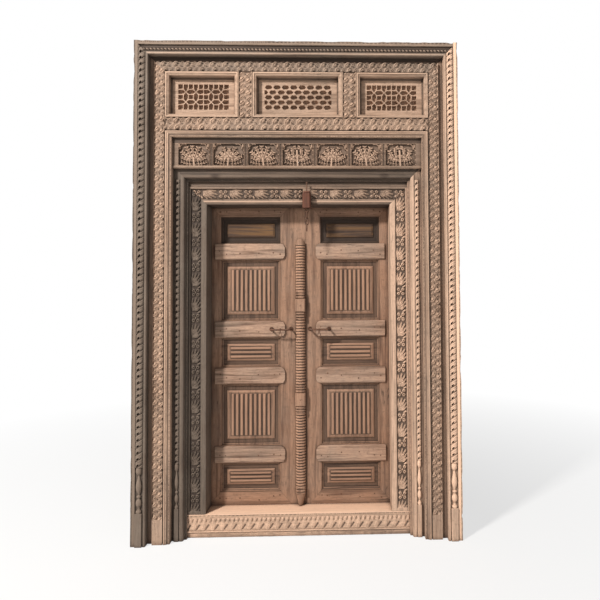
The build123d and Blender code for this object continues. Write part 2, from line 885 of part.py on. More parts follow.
def leaf_levels():
    """Heights of the rails and panels of a leaf, from the bottom up."""
    order = [
        ("bottom_rail", end_rail_height), ("bottom_panel", bottom_panel), ("lower_rail", rail_height),
        ("lower_tall_panel", tall_panel), ("middle_rail", rail_height), ("handle_panel", handle_panel),
        ("handle_rail", rail_height), ("upper_tall_panel", tall_panel), ("upper_rail", rail_height),
        ("top_panel", top_panel), ("top_rail", end_rail_height),
    ]
    levels = {}
    z = leaf_low
    for name, height in order:
        levels[name] = (z, z + height)
        z += height
    return levels


def groove_tool(left, right, low, high):
    """Tool for a straight panel groove."""
    middle = panel_depth + panel_thickness / 2
    return block(left, right, low, high, middle - groove_width / 2, middle + groove_width / 2)


def leaf_hanging_stile(side):
    """Stile with a rounded heel and a round pivot at each end."""
    left, right = sorted((side * stile_inner, side * pivot_x))
    body = block(left, right, leaf_low, leaf_high, leaf_depth, leaf_depth + leaf_thickness)
    height = leaf_high - leaf_low
    heel = Solid.make_cylinder(
        leaf_thickness / 2, height,
        Plane(origin=(side * pivot_x, y_at(pivot_depth), leaf_low), z_dir=(0, 0, 1)))
    pivot = Solid.make_cylinder(
        pivot_radius, height + 2 * pivot_length,
        Plane(origin=(side * pivot_x, y_at(pivot_depth), leaf_low - pivot_length), z_dir=(0, 0, 1)))
    body = join(body, [heel, pivot])
    near, far = sorted((side * (stile_inner - past), side * (stile_inner + groove)))
    return cut(body, [groove_tool(near, far, leaf_low - past, leaf_high + past)])


def leaf_meeting_stile(side):
    """Stile at the middle of the doorway; the left one carries the half column."""
    edge = meeting_edge if side < 0 else meeting_edge + meeting_gap
    left, right = sorted((side * meeting_stile, edge))
    body = block(left, right, leaf_low, leaf_high, leaf_depth, leaf_depth + leaf_thickness)
    near, far = sorted((side * (meeting_stile + past), side * (meeting_stile - groove)))
    return cut(body, [groove_tool(near, far, leaf_low - past, leaf_high + past)])


def leaf_rail(side, low, high, groove_low, groove_high):
    """Rail between the stiles, with a chamfered face that laps over both of them."""
    left, right = sorted((side * meeting_stile, side * stile_inner))
    body = block(left, right, low, high, leaf_depth, leaf_depth + leaf_thickness)
    lap_high = min(high, opening_top - leaf_floor_gap)
    front = leaf_depth - rail_lap
    start = meeting_stile - rail_lap_reach
    end = stile_inner + rail_hanging_reach
    section = [(low, leaf_depth), (low, front + rail_chamfer), (low + rail_chamfer, front),
               (lap_high - rail_chamfer, front), (lap_high, front + rail_chamfer), (lap_high, leaf_depth)]
    lap_left, lap_right = sorted((side * start, side * end))
    round_off = (lap_high - low) / 4
    outline = at_side(side, [
        (start, low + round_off), (start + 0.4 * round_off, low + 0.3 * round_off),
        (start + round_off, low), (end, low), (end, lap_high), (start + round_off, lap_high),
        (start + 0.4 * round_off, lap_high - 0.3 * round_off), (start, lap_high - round_off),
    ])
    lap = one(beam(section, lap_left, lap_right) & slab(outline, front - past, leaf_depth + past))
    body = join(body, [lap])
    tools = []
    if groove_low:
        tools.append(groove_tool(left - past, right + past, low - past, low + groove))
    if groove_high:
        tools.append(groove_tool(left - past, right + past, high - groove, high + past))
    return cut(body, tools)


def leaf_panel(side, low, high, reeds):
    """Tongued panel with a raised field, which may carry upright or level reeds."""
    left, right = sorted((side * meeting_stile, side * stile_inner))
    middle = panel_depth + panel_thickness / 2
    body = block(left, right, low, high, panel_depth, panel_depth + panel_thickness)
    sheet = block(left - tongue, right + tongue, low - tongue, high + tongue,
                  middle - groove_width / 2, middle + groove_width / 2)
    field = rectangle(left + field_margin_side, right - field_margin_side,
                      low + field_margin_end, high - field_margin_end)
    top = rectangle(left + field_margin_side + field_bevel, right - field_margin_side - field_bevel,
                    low + field_margin_end + field_bevel, high - field_margin_end - field_bevel)
    front = panel_depth - field_relief
    raised = frustum(field, top, front, panel_depth + past)
    pieces = [sheet, raised]
    inner_left, inner_low = top[0]
    inner_right, inner_high = top[2]
    count = upright_reeds if reeds == "upright" else level_reeds if reeds == "level" else 0
    start, end = (inner_left, inner_right) if reeds == "upright" else (inner_low, inner_high)
    for i in range(count):
        pitch = (end - start) / count
        middle = start + (i + 0.5) * pitch
        section = [(middle - reed_foot * pitch, front + past), (middle - reed_top * pitch, front - reed_relief),
                   (middle + reed_top * pitch, front - reed_relief), (middle + reed_foot * pitch, front + past)]
        if reeds == "upright":
            pieces.append(column(section, inner_low + reed_inset, inner_high - reed_inset))
        else:
            pieces.append(beam(section, inner_left + reed_inset, inner_right - reed_inset))
    return join(body, pieces)


def astragal():
    """Ribbed half column with two square blocks, a plain foot and a rounded top."""
    half = astragal_width / 2
    front = leaf_depth - astragal_relief
    shoulder = front + astragal_shoulder
    low = leaf_low
    rib_low = low + astragal_foot
    profile = [(low, leaf_depth), (low, front - astragal_swell),
               (rib_low - rib_pitch / 2, front + astragal_swell), (rib_low, front)]
    z = rib_low
    while z + rib_pitch < astragal_top - astragal_cap:
        profile += [(z + rib_pitch / 2, front + rib_depth), (z + rib_pitch, front)]
        z += rib_pitch
    profile += [(astragal_top - astragal_cap / 2, front + rib_depth), (astragal_top, shoulder),
                (astragal_top, leaf_depth)]
    crown = 0.55 * half
    section = [(-half, leaf_depth), (-half, shoulder), (-crown, front - collar_relief),
               (crown, front - collar_relief), (half, shoulder), (half, leaf_depth)]
    outline = [(-half, low), (half, low), (half, astragal_top - half),
               (0.7 * half, astragal_top - 0.3 * half), (0, astragal_top),
               (-0.7 * half, astragal_top - 0.3 * half), (-half, astragal_top - half)]
    body = one(beam(profile, -half, half) & column(section, low, astragal_top))
    body = one(body & slab(outline, front - block_arris, leaf_depth + past))
    pieces = []
    for middle in (low + block_low_rise, astragal_top - block_high_drop):
        base = rectangle(-half, half, middle - block_height / 2, middle + block_height / 2)
        top = rectangle(-half + block_arris, half - block_arris, middle - block_height / 2 + block_arris,
                        middle + block_height / 2 - block_arris)
        rim = leaf_depth - block_relief + block_arris
        pieces.append(slab(base, rim, leaf_depth))
        pieces.append(frustum(base, top, leaf_depth - block_relief, rim))
        for way in (-1, 1):
            z = middle + way * (block_height / 2 + collar_offset)
            reach = collar_height / 2
            collar = [(z - reach, leaf_depth), (z - reach, front), (z, front - collar_relief),
                      (z + reach, front), (z + reach, leaf_depth)]
            pieces.append(beam(collar, -half, half))
    return join(body, pieces)


def ring_points(corner, before, after, normal, radius, facets):
    """Corners of a bar's section on the mitre plane of a bend; its flats lie at the radius."""
    incoming = (corner - before).normalized()
    outgoing = (after - corner).normalized()
    right = (incoming + outgoing).normalized().cross(normal).normalized()
    spread = 1 / right.cross(outgoing).length
    reach = radius / cos(pi / facets)
    points = []
    for k in range(facets):
        angle = 2 * pi * (k + 0.5) / facets
        points.append(corner + right * (reach * spread * cos(angle)) + normal * (reach * sin(angle)))
    return points


def closed_bar(path, normal, radius, facets=8):
    """Faceted bar round a closed flat path whose bends all turn the same way."""
    count = len(path)
    rings = [ring_points(path[i], path[i - 1], path[(i + 1) % count], normal, radius, facets)
             for i in range(count)]
    faces = []
    for i in range(count):
        here, there = rings[i], rings[(i + 1) % count]
        for k in range(facets):
            n = (k + 1) % facets
            faces.append(polygon([tuple(here[k]), tuple(here[n]), tuple(there[n]), tuple(there[k])]))
    return Solid(Shell(faces))


def round_bar(start, end, radius, facets=8):
    """Straight faceted bar between two points; its flats lie at the radius."""
    way = end - start
    plane = Plane(origin=start, z_dir=way)
    reach = radius / cos(pi / facets)
    points = []
    for k in range(facets):
        angle = 2 * pi * (k + 0.5) / facets
        points.append(tuple(plane.from_local_coords(
            Vector(reach * cos(angle), reach * sin(angle), 0))))
    return Solid.extrude(polygon(points), way)


def straight_cylinder(start, end, radius):
    """Round bar between two points."""
    way = end - start
    return Solid.make_cylinder(radius, way.length, Plane(origin=start, z_dir=way))


def pull_middle(side):
    """Middle of a pull's bar."""
    levels = leaf_levels()
    low, high = levels["handle_rail"]
    x = side * (pull_inset + pull_length / 2)
    return Vector(x, y_at(leaf_depth - rail_lap - pull_standoff), (low + high) / 2)


def open_bar(path, normal, radius, facets=8):
    """Faceted bar along an open flat path with mitred bends."""
    last = len(path) - 1
    rings = []
    for i, corner in enumerate(path):
        before = path[i - 1] if i > 0 else corner * 2 - path[1]
        after = path[i + 1] if i < last else corner * 2 - path[last - 1]
        rings.append(ring_points(corner, before, after, normal, radius, facets))
    faces = [polygon([tuple(p) for p in rings[0]]), polygon([tuple(p) for p in rings[-1]])]
    for here, there in zip(rings, rings[1:]):
        for k in range(facets):
            n = (k + 1) % facets
            faces.append(polygon([tuple(here[k]), tuple(here[n]), tuple(there[n]), tuple(there[k])]))
    return Solid(Shell(faces))


def pull(side):
    """Wrought D-shaped pull, its legs set on the stile and on the rail."""
    middle = pull_middle(side)
    half = pull_length / 2
    pieces = []
    for x, seat, inward in ((middle.X - side * half, y_at(leaf_depth), side),
                            (middle.X + side * half, y_at(leaf_depth - rail_lap), -side)):
        path = [(x, seat), (x, middle.Y + pull_bend), (x + inward * pull_bend, middle.Y),
                (x + inward * (pull_bend + pull_stub), middle.Y)]
        pieces.append(open_bar([Vector(a, b, middle.Z) for a, b in path], Vector(0, 0, inward),
                               pull_radius, pull_facets))
        front = Vector(x, seat - pull_plate_thickness, middle.Z)
        pieces.append(round_bar(front, Vector(x, seat, middle.Z), pull_plate))
    reach = half - pull_bend
    bar = straight_cylinder(middle - Vector(reach, 0, 0), middle + Vector(reach, 0, 0), pull_radius)
    return join(bar, pieces)


def octagon(middle, reach):
    """Corners of an octagon in the y-z plane whose flats lie this far from the middle."""
    corner = reach / cos(pi / 8)
    return [(middle.X, middle.Y + corner * cos(pi * (k + 0.5) / 4),
             middle.Z + corner * sin(pi * (k + 0.5) / 4)) for k in range(8)]


def pendant(side):
    """Collar on the pull's bar with a small triangular drop."""
    middle = pull_middle(side)
    inner = pull_radius + pendant_clearance
    outer = inner + pendant_wall
    start = middle - Vector(pendant_width / 2, 0, 0)
    collar = Solid.extrude(polygon(octagon(start, outer)), Vector(pendant_width, 0, 0))
    top = middle.Z - inner
    low = middle.Z - outer - pendant_drop
    half = pendant_spread / 2
    corner = half - 1.6 * pendant_bar
    triangle = [(middle.X, top + 1.25 * pendant_bar), (middle.X + half, low), (middle.X - half, low)]
    opening = [(middle.X, top - 2.75 * pendant_bar), (middle.X + corner, low + pendant_bar),
               (middle.X - corner, low + pendant_bar)]
    depth = middle.Y + total_depth / 2
    drop = slab(triangle, depth - pendant_bar / 2, depth + pendant_bar / 2)
    drop = cut(drop, [slab(opening, depth - pendant_bar, depth + pendant_bar)])
    reach = Vector(pendant_width, 0, 0)
    return cut(join(collar, [drop]), [straight_cylinder(middle - reach, middle + reach, inner)])


def latch_limits():
    """Left, right, low, high, front and back of the latch block."""
    low = opening_top - latch_drop
    return (latch_x - latch_width / 2, latch_x + latch_width / 2, low, low + latch_height,
            rosette_depth - latch_relief, rosette_depth)


def latch_pin_depth():
    """Depth of the iron pin through the latch block."""
    return rosette_depth - latch_relief / 2


def latch_block():
    """Block on the lintel's lower edge, its top weathered back in a slope."""
    left, right, low, high, front, back = latch_limits()
    section = [(low, back), (low, front + latch_arris), (low + latch_arris, front),
               (high - latch_slope_height, front), (high, front + latch_slope_depth), (high, back)]
    body = beam(section, left, right)
    depth = latch_pin_depth()
    hole = round_bar(Vector(latch_x, y_at(depth), low - past), Vector(latch_x, y_at(depth), high + past),
                     pin_radius + pin_clearance)
    return cut(body, [hole])


def link_path(middle, length, along_x):
    """Closed path of a chain link, lying across x or across y."""
    w, h, c = link_half_width, length / 2, link_corner
    corners = [(w, -h + c), (w, h - c), (w - c, h), (c - w, h), (-w, h - c), (-w, c - h),
               (c - w, -h), (w - c, -h)]
    if along_x:
        return [Vector(middle.X + a, middle.Y, middle.Z + b) for a, b in corners]
    return [Vector(middle.X, middle.Y + a, middle.Z + b) for a, b in corners]


def eye_middle():
    """Middle of the eye under the latch block."""
    low = latch_limits()[2]
    return Vector(latch_x, y_at(latch_pin_depth()), low - link_radius - link_gap - eye_length / 2)


def latch_pin():
    """Iron pin driven down through the block, ending in an eye for the chain."""
    middle = eye_middle()
    low, high = latch_limits()[2:4]
    eye = closed_bar(link_path(middle, eye_length, True), Vector(0, 1, 0), link_radius, link_facets)
    shank = round_bar(Vector(middle.X, middle.Y, middle.Z + eye_length / 2),
                      Vector(middle.X, middle.Y, high + pin_rise), pin_radius)
    head = round_bar(Vector(middle.X, middle.Y, high + pin_rise - pin_head),
                     Vector(middle.X, middle.Y, high + pin_rise), 2 * pin_radius)
    return join(eye, [shank, head])


def link_top(index):
    """Height of the top bar of one chain link: 0 is the first below the eye."""
    first = eye_middle().Z - eye_length / 2 + 2 * link_radius + link_gap
    return first - index * link_pitch


def chain_link(index):
    """Wrought link whose round top bar hangs in the one above."""
    length = link_pitch + 2 * link_radius + link_gap
    eye = eye_middle()
    middle = Vector(eye.X, eye.Y, link_top(index) - length / 2)
    along_x = index % 2 == 1
    normal = Vector(0, 1, 0) if along_x else Vector(1, 0, 0)
    corners = link_path(middle, length, along_x)
    start, end = corners[3], corners[2]
    stub = (end - start).normalized() * link_stub
    path = [start + stub] + corners[3:] + corners[:3] + [end - stub]
    return join(straight_cylinder(start, end, link_radius),
                [open_bar(path, normal, link_radius, link_facets)])


def frame_pieces():
    """All fixed pieces of the frame."""
    pieces = {"outer_head": outer_head(), "carved_top_rail": carved_top_rail(),
              "carved_lower_rail": carved_lower_rail(), "frieze_board": frieze_board(),
              "rope_head": rope_head(), "lintel": lintel(), "sill": sill(),
              "latch_block": latch_block(), "latch_pin": latch_pin()}
    for name, side in sides.items():
        pieces[f"outer_jamb_{name}"] = outer_jamb(side)
        pieces[f"carved_jamb_{name}"] = carved_jamb(side)
        pieces[f"mullion_{name}"] = mullion(side)
        pieces[f"rope_jamb_{name}"] = rope_jamb(side)
        pieces[f"rosette_jamb_{name}"] = rosette_jamb(side)
        pieces[f"window_frame_{name}"] = window_frame(side)
        pieces[f"lattice_{name}"] = lattice_board(side, side_lattice(side))
    pieces["window_frame_centre"] = window_frame(0)
    pieces["lattice_centre"] = lattice_board(0, centre_lattice())
    return pieces


def leaf_pieces(name, side):
    """All pieces of one leaf."""
    levels = leaf_levels()
    pieces = {
        f"{name}_hanging_stile": leaf_hanging_stile(side),
        f"{name}_meeting_stile": leaf_meeting_stile(side),
        f"{name}_pull": pull(side),
        f"{name}_pendant": pendant(side),
    }
    for level, (low, high) in levels.items():
        if level.endswith("rail"):
            pieces[f"{name}_{level}"] = leaf_rail(side, low, high, level != "bottom_rail", level != "top_rail")
        else:
            reeds = "upright" if "tall" in level else "plain" if level == "top_panel" else "level"
            pieces[f"{name}_{level}"] = leaf_panel(side, low, high, reeds)
    return pieces


def chain_pieces():
    """The links of the hanging chain."""
    return {f"chain_link_{i + 1}": chain_link(i) for i in range(link_count)}


def main():
    """Build every piece and write one STEP file for each."""
    pieces = frame_pieces()
    for name, side in sides.items():
        pieces.update(leaf_pieces(name, side))
    pieces["astragal"] = astragal()
    pieces.update(chain_pieces())
    os.makedirs("parts", exist_ok=True)
    for name, piece in pieces.items():
        export_step(piece, f"parts/{name}.step")
    print(len(pieces), "pieces")


main()
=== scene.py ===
"""Dresses the carved double-leaf door: carving, wood, iron, floor, light and camera."""

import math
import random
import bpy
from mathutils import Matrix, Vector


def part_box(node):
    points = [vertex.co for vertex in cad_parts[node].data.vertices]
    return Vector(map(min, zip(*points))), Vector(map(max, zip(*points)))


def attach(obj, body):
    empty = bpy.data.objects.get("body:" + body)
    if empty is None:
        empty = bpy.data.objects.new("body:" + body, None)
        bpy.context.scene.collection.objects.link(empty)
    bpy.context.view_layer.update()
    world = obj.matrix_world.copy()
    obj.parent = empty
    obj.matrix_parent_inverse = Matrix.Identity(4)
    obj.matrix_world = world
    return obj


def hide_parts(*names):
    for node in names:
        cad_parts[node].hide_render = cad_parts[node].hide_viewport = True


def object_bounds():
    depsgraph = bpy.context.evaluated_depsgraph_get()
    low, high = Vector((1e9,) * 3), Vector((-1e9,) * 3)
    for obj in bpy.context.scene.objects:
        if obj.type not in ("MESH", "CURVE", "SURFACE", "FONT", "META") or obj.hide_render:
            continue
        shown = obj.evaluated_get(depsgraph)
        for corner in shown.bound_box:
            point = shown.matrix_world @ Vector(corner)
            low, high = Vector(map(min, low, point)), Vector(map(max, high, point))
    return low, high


bl_info = {
    "name": "Carved double door",
    "version": (1, 0, 0),
    "blender": (4, 5, 0),
    "location": "3D View > Sidebar > Carved door",
    "description": "Builds the carving, the wood and iron finishes and the stage of a carved double door",
    "category": "Add Mesh",
}

from collections import namedtuple

import bpy
import numpy as np
from mathutils import Matrix, Vector

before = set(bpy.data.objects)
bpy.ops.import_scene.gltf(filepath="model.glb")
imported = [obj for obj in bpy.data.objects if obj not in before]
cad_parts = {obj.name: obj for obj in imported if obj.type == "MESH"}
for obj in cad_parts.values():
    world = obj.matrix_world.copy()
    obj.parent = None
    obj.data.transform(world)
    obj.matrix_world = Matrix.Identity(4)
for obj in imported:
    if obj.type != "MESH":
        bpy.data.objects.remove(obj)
cad_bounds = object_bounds()

front_y = cad_bounds[0][1] * 1000
lattice_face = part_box("lattice_centre")[0][1]
Strip = namedtuple("Strip", "start end steps carve")
Strip.__new__.__defaults__ = (1, None)
SIDES = (("left", -1), ("right", 1))

# Heights and depths that several pieces share, in millimetres
REBATE = 213
FRAME_DEPTH = 290
PLINTH = 186
TONGUE = 9.7
RAIL_FACE = 214.2


def box_mm(node):
    """A node's box as (left, right, low, high, front depth, back depth) in millimetres."""
    (x0, y0, z0), (x1, y1, z1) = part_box(node)
    return x0 * 1000, x1 * 1000, z0 * 1000, z1 * 1000, y0 * 1000 - front_y, y1 * 1000 - front_y


def sizes():
    return bpy.context.scene.door_sizes


def colours():
    return bpy.context.scene.door_colours


# Meshes

def signed_volume(points, faces):
    """Six times the volume inside the faces; negative where they point inward."""
    total = 0.0
    for face in faces:
        a = points[face[:, 0]]
        for i in range(1, face.shape[1] - 1):
            total += np.einsum("ij,ij->i", a, np.cross(points[face[:, i]], points[face[:, i + 1]])).sum()
    return total


def make_piece(name, points, quads, caps=(), relief=None, material=None, sharp=38.0):
    """Mesh object from points in (x, depth, z) millimetres."""
    place = np.array(points, float).reshape(-1, 3) / 1000
    place[:, 1] += front_y / 1000
    groups = [np.array(quads, int)] + [np.array([c], int) for c in caps]
    if signed_volume(place, groups) < 0:
        groups = [g[:, ::-1] for g in groups]
    mesh = bpy.data.meshes.new(name)
    faces = [face for g in groups for face in g.tolist()]
    mesh.from_pydata(place.tolist(), [], faces)
    mesh.polygons.foreach_set("use_smooth", [True] * len(faces))
    mesh.set_sharp_from_angle(angle=math.radians(sharp))
    # The relief attribute holds painted shade below 0 and painted highlight above 0, and the wood finish reads it.
    if relief is not None:
        layer = mesh.attributes.new("relief", "FLOAT", "POINT")
        layer.data.foreach_set("value", np.array(relief, np.float32).ravel())
    mesh.update()
    piece = bpy.data.objects.new(name, mesh)
    bpy.context.collection.objects.link(piece)
    if material:
        mesh.materials.append(bpy.data.materials[material])
    return piece


def settle(piece, body, slot, *nodes):
    """Ride a body and stand for CAD nodes, hiding them; the slot is not used."""
    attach(piece, body)
    if nodes:
        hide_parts(*nodes)
    return piece


def merge_parts(parts):
    """Put (points, quads, caps, relief) parts together as one."""
    points, quads, caps, relief, base = [], [], [], [], 0
    for p, q, c, r in parts:
        points.append(p)
        quads.append(np.array(q, int) + base)
        caps += [[i + base for i in cap] for cap in c]
        relief.append(r)
        base += len(p)
    return np.concatenate(points), np.concatenate(quads), caps, np.concatenate(relief)


def upright(side):
    """Place of an upright member: along is z and across is the distance from the middle."""
    return lambda along, across, depth: np.stack([side * across, depth, along], -1)


def worn_edge(seed, length, edge):
    """Chips and wear along an outer edge, always inward."""
    rng = np.random.default_rng(seed)
    places, reaches = rng.uniform(0, length, 26), rng.uniform(8, 45, 26)
    cuts = rng.uniform(0.6, 3.6, 26) * rng.uniform(0.3, 1, 26)

    def wear(along, across, depth):
        bite = 0.5 + 0.5 * np.sin(along / 37.0 + seed)
        for place, reach, cut in zip(places, reaches, cuts):
            bite = bite + cut * np.exp(-((along - place) / reach) ** 4)
        nearness = np.clip((across - edge + 9) / 7, 0, 1) * np.clip((60 - depth) / 40, 0, 1)
        return across - nearness * bite
    return wear


def level():
    """Place of a level member: along is x and across is z."""
    return lambda along, across, depth: np.stack([along, depth, across], -1)


def member(strips, back, low, high, place, step, breaks=(), jump=None):
    """Moulded and carved member: strips across it, closed by a flat back.

    Its ends turn at the breaks, and its far end steps down inside the jump."""
    across, base, carving = [], [], []
    for strip in strips:
        for i in range(strip.steps + 1):
            t = i / strip.steps
            a = strip.start[0] + t * (strip.end[0] - strip.start[0])
            d = strip.start[1] + t * (strip.end[1] - strip.start[1])
            if across and i == 0 and abs(across[-1] - a) + abs(base[-1] - d) < 0.001:
                continue
            across.append(a)
            base.append(d)
            carving.append((strip.carve, t))
    across += [across[-1], *breaks, across[0]]
    base += [back] * (2 + len(breaks))
    across, base = np.array(across), np.array(base)
    start, end = low(across), high(across)
    rows = max(1, round(float((end - start).max()) / step))
    t = np.linspace(0, 1, rows + 1)[:, None]
    along = start + t * (end - start)
    depth = np.repeat(base[None, :], rows + 1, 0)
    relief = np.zeros_like(depth)
    done = {}
    for i, (carve, v) in enumerate(carving):
        if carve is not None:
            done.setdefault(id(carve), (carve, []))[1].append((i, v))
    for carve, columns in done.values():
        index = [i for i, _ in columns]
        rise, tone = carve(along[:, index], np.array([v for _, v in columns])[None, :])
        depth[:, index] -= rise
        relief[:, index] = tone
    points = place(along, across[None, :] + 0 * along, depth).reshape(-1, 3)
    count = len(across)
    r, c = np.meshgrid(np.arange(rows), np.arange(count), indexing="ij")
    n = (c + 1) % count
    quads = np.stack([r * count + c, r * count + n, (r + 1) * count + n, (r + 1) * count + c], -1).reshape(-1, 4)
    far = [rows * count + i for i in range(count)]
    caps = [list(range(count))[::-1]]
    if jump is None:
        caps.append(far)
    else:
        inside = [i for i in range(count) if across[i] < jump - 0.001]
        first, last = inside[0], inside[-1]
        caps += [far[:first] + far[last + 1:], far[first:last + 1],
                 [far[i] for i in (first - 1, first, last, last + 1)]]
    return points, quads, caps, relief.ravel()


def mitred_frame(left, right, low, high, profile, shade=None):
    """Moulding round a rectangle: profile is (inset, depth) from outside to inside, and it closes."""
    rings = []
    for inset, depth in profile:
        rings.append([(left + inset, depth, low + inset), (right - inset, depth, low + inset),
                      (right - inset, depth, high - inset), (left + inset, depth, high - inset)])
    count = len(rings)
    points = np.array(rings).reshape(-1, 3)
    quads = []
    for i in range(count):
        j = (i + 1) % count
        for k in range(4):
            n = (k + 1) % 4
            quads.append([i * 4 + k, i * 4 + n, j * 4 + n, j * 4 + k])
    tone = np.repeat(np.array(shade if shade else [0.0] * count), 4)
    return points, np.array(quads), [], tone


def turned(x, depth, low, profile, sides=28):
    """Turned form on an upright axis from (height, radius) pairs."""
    points, quads = [], []
    for height, radius in profile:
        for k in range(sides):
            a = 2 * math.pi * k / sides
            points.append((x + radius * math.cos(a), depth + radius * math.sin(a), low + height))
    for i in range(len(profile) - 1):
        for k in range(sides):
            n = (k + 1) % sides
            quads.append([i * sides + k, i * sides + n, (i + 1) * sides + n, (i + 1) * sides + k])
    last = (len(profile) - 1) * sides
    caps = [list(range(sides))[::-1], [last + k for k in range(sides)]]
    # Painted shade in the necks and painted highlight on the swells.
    tones = [-0.55 if i and i < len(profile) - 1 and profile[i][1] < profile[i - 1][1] and
             profile[i][1] < profile[i + 1][1] else 0.65 for i in range(len(profile))]
    return np.array(points), np.array(quads), caps, np.repeat(np.array(tones), sides)


def rounded_profile(pairs, per=4):
    """Smooth curve through (height, radius) pairs."""
    points = [Vector((a, b, 0)) for a, b in pairs]
    result = []
    for i in range(len(points) - 1):
        p0, p1 = points[max(i - 1, 0)], points[i]
        p2, p3 = points[i + 1], points[min(i + 2, len(points) - 1)]
        for k in range(per):
            t = k / per
            q = 0.5 * ((2 * p1) + (p2 - p0) * t + (2 * p0 - 5 * p1 + 4 * p2 - p3) * t * t
                       + (3 * p1 - p0 - 3 * p2 + p3) * t * t * t)
            result.append((q.x, q.y))
    result.append(pairs[-1])
    return result


def box_part(left, right, low, high, front, back, edge=2.0, tone=0.0):
    """Block with chamfered front arrises."""
    outline = [(left, low), (right, low), (right, high), (left, high)]
    inner = [(left + edge, low + edge), (right - edge, low + edge), (right - edge, high - edge),
             (left + edge, high - edge)]
    points = [(x, back, z) for x, z in outline] + [(x, front + edge, z) for x, z in outline] + \
        [(x, front, z) for x, z in inner]
    quads = [[0, 1, 2, 3], [8, 9, 10, 11]]
    for i in range(4):
        n = (i + 1) % 4
        quads.append([i, n, 4 + n, 4 + i][::-1])
        quads.append([4 + i, 4 + n, 8 + n, 8 + i][::-1])
    return np.array(points, float), np.array(quads), [], np.full(12, tone)


def dome(x, z, radius, front, height, rings=3, sides=12):
    """Round nail head standing on a face."""
    points, quads = [], []
    for i in range(rings + 1):
        a = math.pi / 2 * i / rings
        for k in range(sides):
            b = 2 * math.pi * k / sides
            r = radius * math.cos(a) if i < rings else radius * 0.08
            points.append((x + r * math.cos(b), front + 1 - (height + 1) * math.sin(a), z + r * math.sin(b)))
    for i in range(rings):
        for k in range(sides):
            n = (k + 1) % sides
            quads.append([i * sides + k, i * sides + n, (i + 1) * sides + n, (i + 1) * sides + k])
    caps = [list(range(sides))[::-1], list(range(rings * sides, (rings + 1) * sides))]
    return np.array(points), np.array(quads), caps, np.zeros(len(points))


def tube(path, radius, sides=10, closed=False):
    """Round bar along a smooth path of (x, depth, z) points."""
    pts = [Vector(p) for p in path]
    count = len(pts)
    points, quads = [], []
    up = None
    for i, p in enumerate(pts):
        before = pts[i - 1] if i or closed else p
        after = pts[(i + 1) % count] if i < count - 1 or closed else p
        way = (after - before).normalized()
        if up is None:
            up = way.orthogonal()
        up = (up - way * up.dot(way)).normalized()
        other = way.cross(up)
        r = radius[i] if isinstance(radius, (list, tuple)) else radius
        for k in range(sides):
            a = 2 * math.pi * k / sides
            points.append(tuple(p + up * (r * math.cos(a)) + other * (r * math.sin(a))))
    for i in range(count if closed else count - 1):
        j = (i + 1) % count
        shift = 0
        if closed and j == 0:
            first = Vector(points[i * sides])
            shift = min(range(sides), key=lambda s: (Vector(points[s]) - first).length)
        for k in range(sides):
            n = (k + 1) % sides
            quads.append([i * sides + k, i * sides + n, j * sides + (n + shift) % sides,
                          j * sides + (k + shift) % sides])
    caps = [] if closed else [list(range(sides))[::-1], [(count - 1) * sides + k for k in range(sides)]]
    return np.array(points), np.array(quads), caps, np.zeros(len(points))


def smooth_path(corners, closed=False, per=6):
    """Catmull-Rom path through corners."""
    pts = [Vector(c) for c in corners]
    count = len(pts)
    result = []
    for i in range(count if closed else count - 1):
        p0 = pts[(i - 1) % count] if closed or i else pts[0]
        p1, p2 = pts[i], pts[(i + 1) % count]
        p3 = pts[(i + 2) % count] if closed or i + 2 < count else pts[-1]
        for k in range(per):
            t = k / per
            result.append(0.5 * ((2 * p1) + (p2 - p0) * t + (2 * p0 - 5 * p1 + 4 * p2 - p3) * t * t
                                 + (3 * p1 - p0 - 3 * p2 + p3) * t * t * t))
    if not closed:
        result.append(pts[-1])
    return result


# Carving patterns. A stroke is a rounded ridge along points in (u, v), with a radius at each.

def stroke(field, u, v, points, radii, tops=1.0):
    """Raise a field to a rounded ridge."""
    tops = tops if isinstance(tops, (list, tuple)) else [tops] * len(points)
    for (x0, y0), (x1, y1), r0, r1, h0, h1 in zip(points, points[1:], radii, radii[1:], tops, tops[1:]):
        dx, dy = x1 - x0, y1 - y0
        t = np.clip(((u - x0) * dx + (v - y0) * dy) / max(dx * dx + dy * dy, 1e-6), 0, 1)
        gap = np.hypot(u - x0 - t * dx, v - y0 - t * dy) / (r0 + t * (r1 - r0))
        np.maximum(field, (h0 + t * (h1 - h0)) * np.clip(1 - gap * gap, 0, 1) ** 0.45, out=field)


def groove_line(field, u, v, points, radius, depth):
    """Scratch a line into a field."""
    cut = np.zeros_like(field)
    stroke(cut, u, v, points, [radius] * len(points), 1.0)
    field -= depth * cut * (field > 0.15)


def pattern(pitch, width, draw, grain=0.75, periodic=True):
    """Height field of one repeat, 0 at the ground and 1 at the top; u runs along the repeat."""
    nu, nv = int(pitch / grain), int(width / grain)
    u, v = np.meshgrid((np.arange(nu) + 0.5) * pitch / nu, (np.arange(nv) + 0.5) * width / nv, indexing="ij")
    field = np.zeros((nu, nv))
    for shift in ((-pitch, 0.0, pitch) if periodic else (0.0,)):
        draw(field, u + shift, v)
    return field


